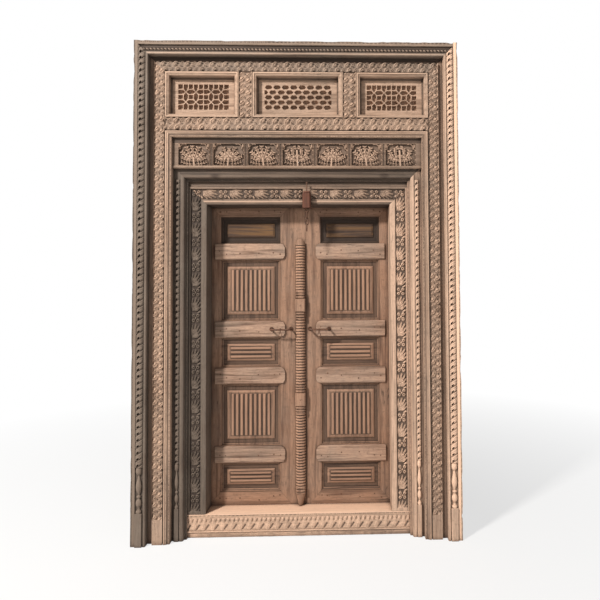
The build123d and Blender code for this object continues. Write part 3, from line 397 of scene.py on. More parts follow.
def sampled(field, pitch, width, ground, rise, start=0.0, flip=False, floor_tone=0.3, light=0.4):
    """Carving made by repeating a pattern along a strip, each repeat a little uneven."""
    nu, nv = field.shape

    def carve(along, v):
        drift = 0.02 * pitch * (np.sin(along / 131.0) + np.sin(along / 47.0 + 1.3))
        u = np.mod((along + drift - start) / pitch, 1.0) * nu - 0.5
        w = np.clip((1 - v if flip else v) * nv - 0.5, 0, nv - 1.001) + 0 * along
        iu, iv = np.floor(u).astype(int), np.floor(w).astype(int)
        fu, fv = u - iu, w - iv
        a, b = field[iu % nu, iv], field[(iu + 1) % nu, iv]
        c, d = field[iu % nu, iv + 1], field[(iu + 1) % nu, iv + 1]
        h = (a * (1 - fu) + b * fu) * (1 - fv) + (c * (1 - fu) + d * fu) * fv
        worn = 1 - 0.16 * (0.5 + 0.5 * np.sin(along / 83.0 + 0.6 * np.sin(along / 29.0)))
        # Painted shade on the ground of the carving and painted highlight on its tops.
        tone = np.where(h < floor_tone, -(1 - h / floor_tone), light * (h - floor_tone) / (1 - floor_tone))
        return ground + (rise - ground) * h * worn, tone

    return carve


def draw_leaf_band(pitch, width):
    """Slanting leaves that touch, heavy at the foot and at the head by turns, with drilled pits between."""
    def draw(field, u, v):
        lean, gauge = 0.72 * width, pitch / 72.0
        np.maximum(field, 0.22, out=field)

        def at(k, s, off=0.0):
            return (k * pitch / 2 + lean * s + off, width * s)

        for k in range(-2, 3):
            heavy = k % 2 == 0
            low = [8, 15, 7] if heavy else [5, 9, 5]
            high = [5, 9, 4] if heavy else [7, 15, 7]
            stroke(field, u, v, [at(k, -0.05), at(k, 0.24), at(k, 0.44)], [r * gauge for r in low],
                   [0.55, 1.0 if heavy else 0.62, 0.45])
            stroke(field, u, v, [at(k, 0.5), at(k, 0.76), at(k, 1.05)], [r * gauge for r in high],
                   [0.45, 0.62 if heavy else 1.0, 0.55])
            for s in (0.04, 0.55):
                groove_line(field, u, v, [at(k, s, 3), at(k, s + 0.18, -3), at(k, s + 0.36, 2)], 1.9, 0.4)
            pit = np.zeros_like(field)
            for s in (0.5, 0.02, 0.98) if heavy else (0.2, 0.8):
                stroke(pit, u, v, [at(k + 0.5, s, -3), at(k + 0.5, s, 3)], [5.2, 2.6])
            np.minimum(field, np.where(pit > 0, 0.5 - 0.5 * pit, 9), out=field)
    return draw


def draw_twist(pitch, width):
    """Slanting turns of a rope with a drilled pit beside each."""
    def draw(field, u, v):
        roll = np.sqrt(np.clip(1 - ((v - width / 2) / (width / 2)) ** 2, 0, 1))
        turn = np.mod((u - 0.62 * (v - width / 2)) / pitch, 1.0)
        valley = np.abs(turn - 0.5) * 2
        crest = roll * np.clip(1.04 - 0.72 * valley ** 6, 0, 1)
        vein = np.exp(-((turn - 0.62) / 0.05) ** 2) * 0.16 * (roll > 0.5)
        pit = np.zeros_like(field)
        for k in (-1, 0, 1):
            z = (0.02 + k) * pitch
            stroke(pit, u, v, [(z + 2, 0.34 * width), (z + 11, 0.50 * width)], [4.6, 1.6])
        np.maximum(field, np.clip(crest - vein - 1.2 * pit, 0, 1), out=field)
    return draw


def draw_rosettes(pitch, width):
    """Four-lobed flowers with fans of leaves between them."""
    def draw(field, u, v):
        middle = width / 2
        np.maximum(field, 0.10, out=field)
        for centre in (0.0, pitch):
            for a, b in ((-1, -1), (-1, 1), (1, -1), (1, 1)):
                lobe = (centre + 12 * a, middle + 12.5 * b)
                stroke(field, u, v, [lobe, (lobe[0] + 2.5 * a, lobe[1] + 2 * b)], [10.5, 10.5], 0.92)
                groove_line(field, u, v, [lobe, (lobe[0] + 0.1, lobe[1])], 3.4, 0.75)
                groove_line(field, u, v, [lobe, (lobe[0] + 9 * a, lobe[1] + 9 * b)], 1.4, 0.4)
            stroke(field, u, v, [(centre - 2, middle), (centre + 2, middle)], [5.5, 5.5], 1.0)
        half = pitch / 2
        root = (half - 33, middle - 20)
        for tip, bend in (((half - 14, middle + 26), (half - 30, middle + 8)),
                          ((half + 10, middle + 25), (half - 14, middle + 8)),
                          ((half + 32, middle + 20), (half + 2, middle + 2)),
                          ((half + 40, middle + 2), (half + 8, middle - 8)),
                          ((half + 34, middle - 20), (half + 2, middle - 20))):
            stroke(field, u, v, [root, bend, tip], [4, 8, 4.5], [0.7, 0.95, 0.8])
            groove_line(field, u, v, [root, bend, tip], 1.5, 0.4)
        stroke(field, u, v, [(half - 46, middle + 14), (half - 40, middle + 24)], [5, 6], 0.85)
    return draw


def draw_ticks(gap, fill=0.55):
    """Even little notches across a strip."""
    def carve(along, v):
        cut = (np.mod(along / gap, 1.0) > fill) & (v > 0.12) & (v < 0.88)
        # Painted shade in the notches.
        return np.where(cut, -sizes().notch_depth * 1000, 0.0), np.where(cut, -0.9, 0.05)
    return carve


def round_over(depth, tone=0.2):
    """Full round across a strip."""
    def carve(along, v):
        rise = depth * np.sqrt(np.clip(1 - (2 * v - 1) ** 2, 0, 1)) + 0 * along
        # Painted highlight along the crown of the round and painted shade down its sides.
        return rise, np.where(rise > 0.8 * depth, tone, -0.3)
    return carve


def shade(tone):
    """Plain strip whose tone is set: painted shade below 0 and painted highlight above 0."""
    def carve(along, v):
        return 0 * along + 0 * v, np.full_like(along + v, tone)
    return carve


# Finishes

def add_node(tree, kind, inputs=None, **settings):
    node = tree.nodes.new(kind)
    for key, value in settings.items():
        setattr(node, key, value)
    for key, value in (inputs or {}).items():
        socket = node.inputs[key]
        if isinstance(value, bpy.types.NodeSocket):
            tree.links.new(value, socket)
        else:
            socket.default_value = value
    return node


def ramp(tree, value, stops):
    node = add_node(tree, "ShaderNodeValToRGB", {"Fac": value})
    elements = node.color_ramp.elements
    while len(elements) < len(stops):
        elements.new(0.5)
    for element, (place, tone) in zip(elements, stops):
        element.position = place
        element.color = tone if len(tone) == 4 else (*tone, 1)
    return node.outputs["Color"]


def blend(tree, factor, a, b, mode="MIX"):
    node = tree.nodes.new("ShaderNodeMix")
    node.data_type = "RGBA"
    node.blend_type = mode
    for socket, value in zip((node.inputs[0], node.inputs[6], node.inputs[7]), (factor, a, b)):
        if isinstance(value, bpy.types.NodeSocket):
            tree.links.new(value, socket)
        else:
            socket.default_value = value
    return node.outputs[2]


def maths(tree, operation, a, b=0.5, clamp=False):
    node = tree.nodes.new("ShaderNodeMath")
    node.operation = operation
    node.use_clamp = clamp
    for socket, value in zip(node.inputs, (a, b)):
        if isinstance(value, bpy.types.NodeSocket):
            tree.links.new(value, socket)
        else:
            socket.default_value = value
    return node.outputs[0]


def noise(tree, place, scale, detail, roughness, distortion=0.0):
    return add_node(tree, "ShaderNodeTexNoise", {
        "Vector": place, "Scale": scale, "Detail": detail, "Roughness": roughness,
        "Distortion": distortion}).outputs["Fac"]

def bare_material(name):
    """New material and its empty node tree."""
    material = bpy.data.materials.new(name)
    material.use_nodes = True
    material.node_tree.nodes.clear()
    return material, material.node_tree

def rgba(colour, gain=1.0):
    return (colour[0] * gain, colour[1] * gain, colour[2] * gain, 1.0)


def wood(name, light, dark, grain, shift=0.0, weather=0.5, dirt_and_shade=1.0, crack=0.5, knots=(), sunk=False, streak=None):
    """Old open-grained wood whose grain runs along x or z."""
    material, tree = bare_material(name)
    place = add_node(tree, "ShaderNodeTexCoord").outputs["Object"]
    along = (0.05, 1, 1) if grain == "x" else (1, 1, 0.05)
    grained = add_node(tree, "ShaderNodeMapping",
                       {"Vector": place, "Location": (shift, shift * 0.7, shift * 1.3), "Scale": along}).outputs[0]
    fibre = noise(tree, grained, 330.0, 5.0, 0.65)
    figure = noise(tree, grained, 34.0, 4.0, 0.55, 0.9)
    split = noise(tree, grained, 62.0, 2.0, 0.4)
    patch = noise(tree, place, 3.2, 5.0, 0.6)
    speck = noise(tree, place, 48.0, 4.0, 0.7)
    tone = ramp(tree, figure, [(0.30, rgba(dark)), (0.52, rgba(light)), (0.74, rgba(light, 1.18))])
    tone = blend(tree, maths(tree, "MULTIPLY", ramp(tree, fibre, [(0.38, (1, 1, 1)), (0.60, (0, 0, 0))]), 0.42),
                 tone, rgba(dark, 0.62))
    grey = rgba(colours().weather)
    tone = blend(tree, maths(tree, "MULTIPLY",
                             ramp(tree, patch, [(0.40, (0, 0, 0)), (0.66, (1, 1, 1))]), weather), tone, grey)
    tone = blend(tree, maths(tree, "MULTIPLY",
                             ramp(tree, speck, [(0.30, (1, 1, 1)), (0.46, (0, 0, 0))]), 0.35), tone,
                 rgba(colours().dirt_and_shade, 1.8))
    if streak is not None:
        band = ramp(tree, figure, [(0.46, (0, 0, 0)), (0.60, (1, 1, 1))])
        tone = blend(tree, maths(tree, "MULTIPLY", band, 0.75), tone, rgba(streak))
    for x, z in knots:
        off = add_node(tree, "ShaderNodeVectorMath", {0: place, 1: (x, 0, z)}, operation="SUBTRACT").outputs[0]
        off = add_node(tree, "ShaderNodeVectorMath", {0: off, 1: (0.55, 0, 1.3)}, operation="MULTIPLY").outputs[0]
        reach = add_node(tree, "ShaderNodeVectorMath", {0: off}, operation="LENGTH").outputs["Value"]
        tone = blend(tree, ramp(tree, reach, [(0.008, (0.9, 0.9, 0.9)), (0.022, (0, 0, 0))]), tone,
                     rgba(colours().dirt_and_shade, 0.8))
    cracks = ramp(tree, split, [(0.485, (0, 0, 0)), (0.497, (1, 1, 1)), (0.503, (1, 1, 1)), (0.515, (0, 0, 0))])
    cracked = ramp(tree, patch, [(0.52, (0, 0, 0)), (0.62, (1, 1, 1))])
    cracks = maths(tree, "MULTIPLY", maths(tree, "MULTIPLY", cracks, cracked), crack)
    tone = blend(tree, cracks, tone, rgba(colours().dirt_and_shade, 0.5))
    # Painted shade: where the relief is below 0 the wood is darkened towards the dark colour, standing for shade in
    # the hollows.
    relief = add_node(tree, "ShaderNodeAttribute", attribute_name="relief").outputs["Fac"]
    hollow_shade = maths(tree, "MULTIPLY", maths(tree, "MULTIPLY", relief, -1.0, True), dirt_and_shade, True)
    # On the pierced boards the painted shade grows with depth behind the lattice face instead, darkening the holes.
    if sunk:
        back = add_node(tree, "ShaderNodeSeparateXYZ", {0: place}).outputs["Y"]
        hollow_shade = add_node(tree, "ShaderNodeMapRange", {"Value": back, "From Min": lattice_face + 0.002,
                                                     "From Max": lattice_face + 0.018,
                                                     "To Max": 0.2}).outputs[0]
    # Painted highlight: where the relief is above 0 the wood is lightened towards a paler copy of its colour.
    raised_highlight = maths(tree, "MULTIPLY", relief, 0.9, True)
    tone = blend(tree, raised_highlight, tone, rgba(light, 1.45))
    tone = blend(tree, hollow_shade, tone, rgba(colours().dirt_and_shade))
    closeness = add_node(tree, "ShaderNodeAmbientOcclusion", {"Distance": 0.035}, samples=6).outputs["AO"]
    nook = (1.0, 0.92, 0.86) if sunk else (0.22, 0.19, 0.18)
    shadow = ramp(tree, closeness, [(0.25, nook), (0.85, (1, 1, 1))])
    tone = blend(tree, 1.0, tone, shadow, "MULTIPLY")
    height = maths(tree, "ADD", maths(tree, "MULTIPLY", fibre, 0.5), maths(tree, "MULTIPLY", speck, 0.6))
    height = maths(tree, "SUBTRACT", height, maths(tree, "MULTIPLY", cracks, 0.9))
    bump = add_node(tree, "ShaderNodeBump", {"Height": height, "Strength": 0.55, "Distance": 0.0016}).outputs[0]
    roughness = add_node(tree, "ShaderNodeMapRange", {"Value": speck, "To Min": 0.62, "To Max": 0.88}).outputs[0]
    shader = add_node(tree, "ShaderNodeBsdfPrincipled", {"Base Color": tone, "Roughness": roughness, "Normal": bump})
    shader.inputs["Specular IOR Level"].default_value = 0.28
    add_node(tree, "ShaderNodeOutputMaterial", {"Surface": shader.outputs[0]})
    return material


def iron(name):
    """Hand-wrought iron, brown with rust and bare in patches."""
    material, tree = bare_material(name)
    place = add_node(tree, "ShaderNodeTexCoord").outputs["Object"]
    rust = add_node(tree, "ShaderNodeTexNoise",
                    {"Vector": place, "Scale": 120.0, "Detail": 6.0, "Roughness": 0.7}).outputs["Fac"]
    hammer = add_node(tree, "ShaderNodeTexVoronoi", {"Vector": place, "Scale": 160.0}).outputs["Distance"]
    tone = ramp(tree, rust, [(0.35, rgba(colours().iron)), (0.55, rgba(colours().rust)),
                             (0.72, rgba(colours().rust, 1.6))])
    metal = ramp(tree, rust, [(0.40, (0.75, 0.75, 0.75)), (0.60, (0.15, 0.15, 0.15))])
    height = maths(tree, "ADD", maths(tree, "MULTIPLY", rust, 0.7), hammer)
    bump = add_node(tree, "ShaderNodeBump", {"Height": height, "Strength": 0.5, "Distance": 0.0012}).outputs[0]
    roughness = add_node(tree, "ShaderNodeMapRange", {"Value": rust, "To Min": 0.45, "To Max": 0.8}).outputs[0]
    shader = add_node(tree, "ShaderNodeBsdfPrincipled",
                      {"Base Color": tone, "Metallic": metal, "Roughness": roughness, "Normal": bump})
    add_node(tree, "ShaderNodeOutputMaterial", {"Surface": shader.outputs[0]})
    return material


def floor_finish(name, colour):
    """Matt pale floor that fades to white away from the door."""
    material, tree = bare_material(name)
    matt = add_node(tree, "ShaderNodeBsdfDiffuse", {"Color": rgba(colour)}).outputs[0]
    glow = add_node(tree, "ShaderNodeEmission", {"Color": (1, 1, 1, 1), "Strength": 1.0}).outputs[0]
    rays = add_node(tree, "ShaderNodeLightPath").outputs["Is Camera Ray"]
    place = add_node(tree, "ShaderNodeTexCoord").outputs["Object"]
    away = add_node(tree, "ShaderNodeVectorMath", {0: place}, operation="LENGTH").outputs["Value"]
    whiter = add_node(tree, "ShaderNodeMapRange", {"Value": away, "From Min": 1.2, "From Max": 4.5,
                                                   "To Min": 0.66, "To Max": 1.0}).outputs[0]
    part = maths(tree, "MULTIPLY", rays, whiter)
    both = add_node(tree, "ShaderNodeMixShader", {0: part, 1: matt, 2: glow}).outputs[0]
    add_node(tree, "ShaderNodeOutputMaterial", {"Surface": both})
    return material


# Frame members

def baluster(radius):
    """Rings, ball, vase and ball, from the plinth up."""
    return rounded_profile([(h, radius * r) for h, r in (
        (0, 0.85), (7, 0.95), (15, 0.92), (20, 0.55), (32, 0.45), (38, 0.62), (46, 0.9), (58, 1.0), (70, 0.9),
        (80, 0.5), (86, 0.46), (90, 0.72), (97, 0.74), (102, 0.44), (110, 0.45), (126, 0.78), (144, 0.98),
        (164, 0.92), (186, 0.62), (206, 0.42), (213, 0.42), (217, 0.62), (226, 0.92), (238, 1.0), (250, 0.9),
        (259, 0.5))])


def fixed(name, part, material, *nodes, slot="frame_wood", sharp=38.0, body="frame"):
    """Piece made of a part, riding a body in place of CAD nodes."""
    points, quads, caps, relief = part
    piece = make_piece(name, points, quads, caps, relief, material, sharp)
    return settle(piece, body, slot, *nodes)


class Frame:
    """Edges of the frame, read from the CAD boxes in millimetres."""

    def __init__(self):
        left, right, low, high, front, back = box_mm("outer_jamb_right")
        self.outer, self.architrave, self.top = right, left, high
        self.architrave_back = back
        self.fillet = self.outer - 25
        self.rope = self.fillet - 44
        self.architrave_low = self.top - (self.outer - self.architrave)
        left, right, low, high, front, back = box_mm("carved_jamb_right")
        self.surround, self.surround_back = left, back
        self.recess = self.architrave - 30
        self.band = self.surround + 40
        left, right, low, high, front, back = box_mm("carved_lower_rail")
        self.window_low, self.surround_low = high, low
        self.window_top = box_mm("window_frame_centre")[3]
        self.recess_low = self.architrave_low - 30
        self.lower_band_low = self.surround_low + 40
        self.frieze_low = box_mm("frieze_board")[2]
        left, right, low, high, front, back = box_mm("rope_jamb_right")
        self.rope_inner, self.rope_back = left, back
        self.rope_head_low = box_mm("rope_head")[2]
        left, right, low, high, front, back = box_mm("rosette_jamb_right")
        self.opening, self.rosette_low = left, low
        self.opening_top = self.rope_head_low - 136
        self.rosette_back = back


def architrave_strips(f, twist, ticks_out, ticks_in):
    """Outer fillet, twisted roll and bead, from the outside inward."""
    return [
        Strip((f.outer, 108), (f.outer, 13), 4, None),
        Strip((f.outer - 1, 12), (f.outer - 9, 12), 2, ticks_out),
        # Painted highlight on the front fillet and painted shade on the step behind it.
        Strip((f.outer - 9.5, 12), (f.fillet + 1, 12), 2, shade(0.9)),
        Strip((f.fillet, 13), (f.fillet - 0.01, 18), 1, shade(-0.5)),
        Strip((f.fillet - 0.5, 18), (f.rope + 0.5, 18), 15, twist),
        Strip((f.rope, 18), (f.rope, 10), 1, None),
        Strip((f.rope - 0.5, 9.5), (f.architrave + 0.5, 9.5), 5, ticks_in),
        Strip((f.architrave, 11), (f.architrave, f.architrave_back), 2, None),
    ]


def outer_frame(f):
    """Architrave uprights with their turned bases, and the head."""
    pitch, width = 36.0, 43.0
    for name, side in SIDES:
        field = pattern(pitch, width, draw_twist(pitch, width))
        twist = sampled(field, pitch, width, 0.5, 16.5, start=413 % pitch, flip=side > 0, light=0.45)

        def roll(along, v, twist=twist):
            rise, tone = twist(along, v)
            blank = along < 440
            # Painted shade on the plain stretch of the roll behind the turned base.
            return np.where(blank, 0.0, rise), np.where(blank, -0.35, tone)

        def top_line(a, f=f):
            return np.where(a >= f.fillet, f.top, f.top - 25 - (f.fillet - a))

        wear = worn_edge(5 + side, f.top, f.outer)
        shaft = member(architrave_strips(f, roll, draw_ticks(9.0), round_over(1.4)), f.architrave_back,
                       lambda a: 0 * a, top_line,
                       lambda along, across, depth, side=side, wear=wear: np.stack(
                           [side * wear(along, across, depth), depth, along], -1), 3.3, (f.fillet - 0.01, f.fillet),
                       f.fillet)
        x = side * (f.fillet + f.rope) / 2
        base = turned(x, 18.2, PLINTH, baluster(18.0))
        foot = box_part(x - 20, x + 20, 0, 187, 1, 20, 2.5, 0.1)
        part = merge_parts([shaft, base, foot])
        fixed(f"architrave_{name}", part, f"architrave_wood_{name}", f"outer_jamb_{name}")

    teeth_pitch = 21.0

    def teeth(along, v):
        turn = np.mod((along - 12 * v) / teeth_pitch, 1.0)
        crest = np.clip(1.1 - np.abs(turn - 0.45) * 2.6, 0, 1) ** 0.6
        shape = np.sin(math.pi * np.clip(v, 0, 1)) ** 0.7
        # Painted shade between the teeth and a light tone on them, as painted highlight.
        return -11 + 13 * crest * shape, np.where(crest * shape < 0.4, -0.9, 0.15)

    top_wear = worn_edge(9, 2 * f.outer, f.top)
    head = member([
        Strip((f.top, 112), (f.top, 13), 4, None),
        Strip((f.top - 1, 12), (f.top - 14, 12), 3, draw_ticks(8.0)),
        Strip((f.top - 14.5, 12), (f.top - 24, 12), 2, round_over(1.2)),
        Strip((f.top - 25, 13), (f.top - 25, 20), 1, None),
        # Painted shade in the hollow, the quirk and on the inner face of the head.
        Strip((f.top - 27, 20), (f.top - 40, 22), 3, shade(-0.8)),
        Strip((f.top - 42, 12), (f.top - 60, 9), 6, teeth),
        Strip((f.top - 62, 14), (f.top - 67, 14), 1, shade(-0.6)),
        Strip((f.top - 69, 9.5), (f.architrave_low + 0.5, 9.5), 5, round_over(2.2, 0.6)),
        Strip((f.architrave_low, 11), (f.architrave_low, f.architrave_back), 2, shade(-0.2)),
    ], f.architrave_back, lambda a: -np.minimum(f.architrave + (a - f.architrave_low), f.fillet),
        lambda a: np.minimum(f.architrave + (a - f.architrave_low), f.fillet),
        lambda along, across, depth: np.stack([along, depth, top_wear(along + f.outer, across, depth)], -1), 3.0,
        (f.top - 25,))
    fixed("architrave_head", head, "weathered_wood_level", "outer_head")


def surround_moulding(start, end, back):
    """Quirk, round and notched fillet between the carved band and the inner edge."""
    return [
        # Painted shade in the quirks and on the step before the notched fillet.
        Strip((start, 28), (start - 0.01, 40), 1, shade(-0.7)),
        Strip((start - 4, 40), (start - 4, 29), 1, shade(-0.7)),
        Strip((start - 5, 28), (start - 14, 28), 3, round_over(1.6, 0.35)),
        Strip((start - 15, 29), (end + 18, 29), 1, None),
        Strip((end + 14, 34), (end + 10, 34), 1, shade(-0.5)),
        Strip((end + 9, 33), (end + 1, 33), 2, draw_ticks(9.0)),
        Strip((end, 35), (end, back), 2, None),
    ]

def surround(f):
    """Carved uprights, rails and mullions round the windows."""
    pitch = 72.0
    width = f.recess - f.band
    band_field = pattern(pitch, width, draw_leaf_band(pitch, width))
    for name, side in SIDES:
        leaves = sampled(band_field, pitch, width, -10.5, 2.5, flip=side > 0)

        def band(along, v, leaves=leaves):
            rise, tone = leaves(along, v)
            edge = (v < 0.05) | (v > 0.95) | (along < 140)
            return np.where(edge, 0.0, rise), np.where(edge, 0.05, tone)

        def top_line(a, f=f):
            return np.where(a >= f.band, f.window_top + (a - f.band), f.lower_band_low - (f.band - a))

        part = member([
            Strip((f.architrave, 188), (f.architrave, 45), 2, None),
            # Painted shade on the recessed face beside the architrave, standing for its shadow.
            Strip((f.architrave - 1, 45), (f.recess + 1, 45), 3, shade(-0.25)),
            Strip((f.recess, 44), (f.recess, 29), 2, None),
            Strip((f.recess - 0.5, 28), (f.band + 0.5, 28), 20, band),
            *surround_moulding(f.band, f.surround, f.surround_back),
        ], f.surround_back, lambda a: 0 * a, top_line, upright(side), 3.3, (f.band - 0.01, f.band), f.band)
        fixed(f"carved_upright_{name}", part, "pale_wood_upright", f"carved_jamb_{name}")

    leaves = sampled(band_field, pitch, width, -10.5, 2.5, start=10, flip=True)
    top = member([
        Strip((f.architrave_low, 188), (f.architrave_low, 45), 2, None),
        # Painted shade on the face under the architrave head and on the step below it, standing for the head's shadow.
        Strip((f.architrave_low - 1, 45), (f.recess_low + 1, 45), 3, shade(-0.8)),
        Strip((f.recess_low, 44), (f.recess_low, 29), 2, shade(-0.2)),
        Strip((f.recess_low - 0.5, 28), (f.window_top + 0.5, 28), 20, leaves),
        Strip((f.window_top, 29), (f.window_top, f.surround_back), 2, None),
    ], f.surround_back, lambda a: -(f.band + a - f.window_top), lambda a: f.band + a - f.window_top, level(), 3.3)
    fixed("carved_head", top, "carved_head_wood", "carved_top_rail")

    height = f.window_low - f.lower_band_low

    def half_line(a):
        return np.where(a >= f.lower_band_low, f.band, f.surround + a - f.surround_low)

    field = pattern(pitch, height, draw_leaf_band(pitch, height))
    leaves_below = sampled(field, pitch, height, -10.5, 2.5, start=6, flip=True)
    rail = member([
        Strip((f.window_low, 188), (f.window_low, 29), 2, None),
        Strip((f.window_low - 0.5, 28), (f.lower_band_low + 0.5, 28), 26, leaves_below),
        *surround_moulding(f.lower_band_low, f.surround_low, f.surround_back),
    ], f.surround_back, lambda a: -half_line(a), half_line, level(), 3.3, (f.lower_band_low - 0.01, f.lower_band_low))
    fixed("carved_rail", rail, "pale_wood_level", "carved_lower_rail")

    for name, side in SIDES:
        left, right, low, high, front, back = box_mm(f"mullion_{name}")
        post_field = pattern(pitch, right - left - 8, draw_leaf_band(pitch, right - left - 8))
        leaves = sampled(post_field, pitch, right - left - 8, -10.5, 2.5, start=low)
        part = member([
            Strip((left, 188), (left, 29), 2, None),
            Strip((left + 1, 28), (left + 4, 28), 1, None),
            Strip((left + 4.5, 28), (right - 4.5, 28), 26, leaves),
            Strip((right - 4, 28), (right - 1, 28), 1, None),
            Strip((right, 29), (right, back), 2, None),
        ], back, lambda a: low + 0 * a, lambda a: high + 0 * a,
            lambda along, across, depth: np.stack([across, depth, along], -1), 3.0)
        fixed(f"carved_post_{name}", part, "pale_wood_upright", f"mullion_{name}")


def windows():
    """Double-stepped mouldings round the windows."""
    for name in ("left", "centre", "right"):
        left, right, low, high, front, back = box_mm(f"window_frame_{name}")
        member_width = (right - left - (box_mm(f"lattice_{name}")[1] - box_mm(f"lattice_{name}")[0])) / 2
        shelf = box_mm(f"lattice_{name}")[4] - 2
        profile = [(0, back), (0, front + 4), (1.5, front + 1), (3, front), (10, front), (11.5, front + 3),
                   (13, front + 3.5), (18, front + 7), (19.5, front + 7), (21.5, front + 9), (22.5, front + 12),
                   (23, shelf - 3), (24, shelf), (member_width, shelf), (member_width, back)]
        # Painted highlight on the faces of the moulding and painted shade in its quirks, down the reveal and on the
        # shelf.
        tones = [0, -0.3, 0, 0.35, 0.35, -0.5, -0.1, 0.2, -0.3, 0.25, 0, -0.35, -0.6, -0.3, -0.3]
        part = mitred_frame(left, right, low, high, profile, tones)
        fixed(f"window_moulding_{name}", part, "window_wood", f"window_frame_{name}", sharp=25.0)


def lobed_leaf(field, u, v, points, radius, top=0.95):
    """Leaf along points, with lobes down both sides and a cut vein."""
    radii = [radius * 0.5] + [radius] * (len(points) - 2) + [radius * 0.4]
    stroke(field, u, v, points, radii, top)
    for (x0, y0), (x1, y1) in zip(points, points[1:]):
        length = math.hypot(x1 - x0, y1 - y0)
        dx, dy = 1.5 * radius * (x1 - x0) / length, 1.5 * radius * (y1 - y0) / length
        for t in (0.35, 0.8):
            root = (x0 + t * (x1 - x0), y0 + t * (y1 - y0))
            for way in (-1, 1):
                tip = (root[0] + 0.55 * dx - 0.85 * way * dy, root[1] + 0.55 * dy + 0.85 * way * dx)
                stroke(field, u, v, [root, tip], [radius * 0.75, radius * 0.45], top * 0.85)
    groove_line(field, u, v, points, 1.8, 0.45)


def draw_flower(width, height, kind):
    """Plant with lobed leaves under a thin scalloped rim."""
    lean = (0.10, -0.08, 0.05)[kind]
    scallops = [(0.10, 0.62, 0.11), (0.20, 0.82, 0.12), (0.36, 0.90, 0.11), (0.50, 0.95, 0.10),
                (0.64, 0.90, 0.11), (0.80, 0.82, 0.12), (0.90, 0.62, 0.11), (0.90, 0.40, 0.12),
                (0.10, 0.40, 0.12), (0.90, 0.17, 0.12), (0.10, 0.17, 0.12)]

    def draw(field, u, v):
        mid = width / 2

        def hollow(margin):
            area = (np.abs(u - mid) < 0.38 * width + margin) & (v < 0.84 * height + margin)
            for cx, cz, r in scallops:
                area |= np.hypot(u - cx * width, v - cz * height) < r * width + margin
            return area

        np.maximum(field, np.where(hollow(0.0), 0.04, np.where(hollow(4.5), 0.95, 0.42)), out=field)
        slanted = u + lean * (v - 0.3 * height)

        def both(points, radius, top=0.95):
            for way in (-1, 1):
                lobed_leaf(field, slanted, v, [(mid + way * a * width, b * height) for a, b in points], radius, top)

        if kind == 0:
            both([(0.03, 0.34), (0.12, 0.60), (0.19, 0.86)], 9.5)
            both([(0.04, 0.30), (0.24, 0.46), (0.36, 0.66)], 10.0)
            lobed_leaf(field, slanted, v, [(mid, 0.32 * height), (mid, 0.66 * height), (mid, 0.92 * height)], 8.5, 1.0)
        elif kind == 1:
            for a in (-76, -50, -25, 0, 25, 50, 76):
                s, c = math.sin(math.radians(a)), math.cos(math.radians(a))
                reach = (0.60 if a % 50 else 0.50) * height
                lobed_leaf(field, slanted, v, [(mid, 0.30 * height),
                                               (mid + 0.6 * s * reach, (0.30 * height) + 0.6 * c * reach),
                                               (mid + s * reach, 0.30 * height + c * reach)], 8.0, 1.0)
        else:
            both([(0.02, 0.34), (0.15, 0.56), (0.13, 0.80), (0.04, 0.86)], 8.0)
            both([(0.05, 0.28), (0.28, 0.46), (0.34, 0.72)], 10.0)
            stroke(field, slanted, v, [(mid, 0.36 * height), (mid, 0.70 * height)], [6, 7.5], 1.0)
        both([(0.04, 0.22), (0.22, 0.26), (0.37, 0.38)], 7.5)
        both([(0.05, 0.05), (0.24, 0.08), (0.42, 0.19)], 7.0, 0.85)
        stroke(field, slanted, v, [(mid, 0.0), (mid, 0.36 * height)], [7, 5], 0.95)
        for cx in (0.03, 0.97):
            stroke(field, u, v, [(cx * width, 0.86 * height), (cx * width, 0.98 * height)], [6, 7], 0.85)
    return draw


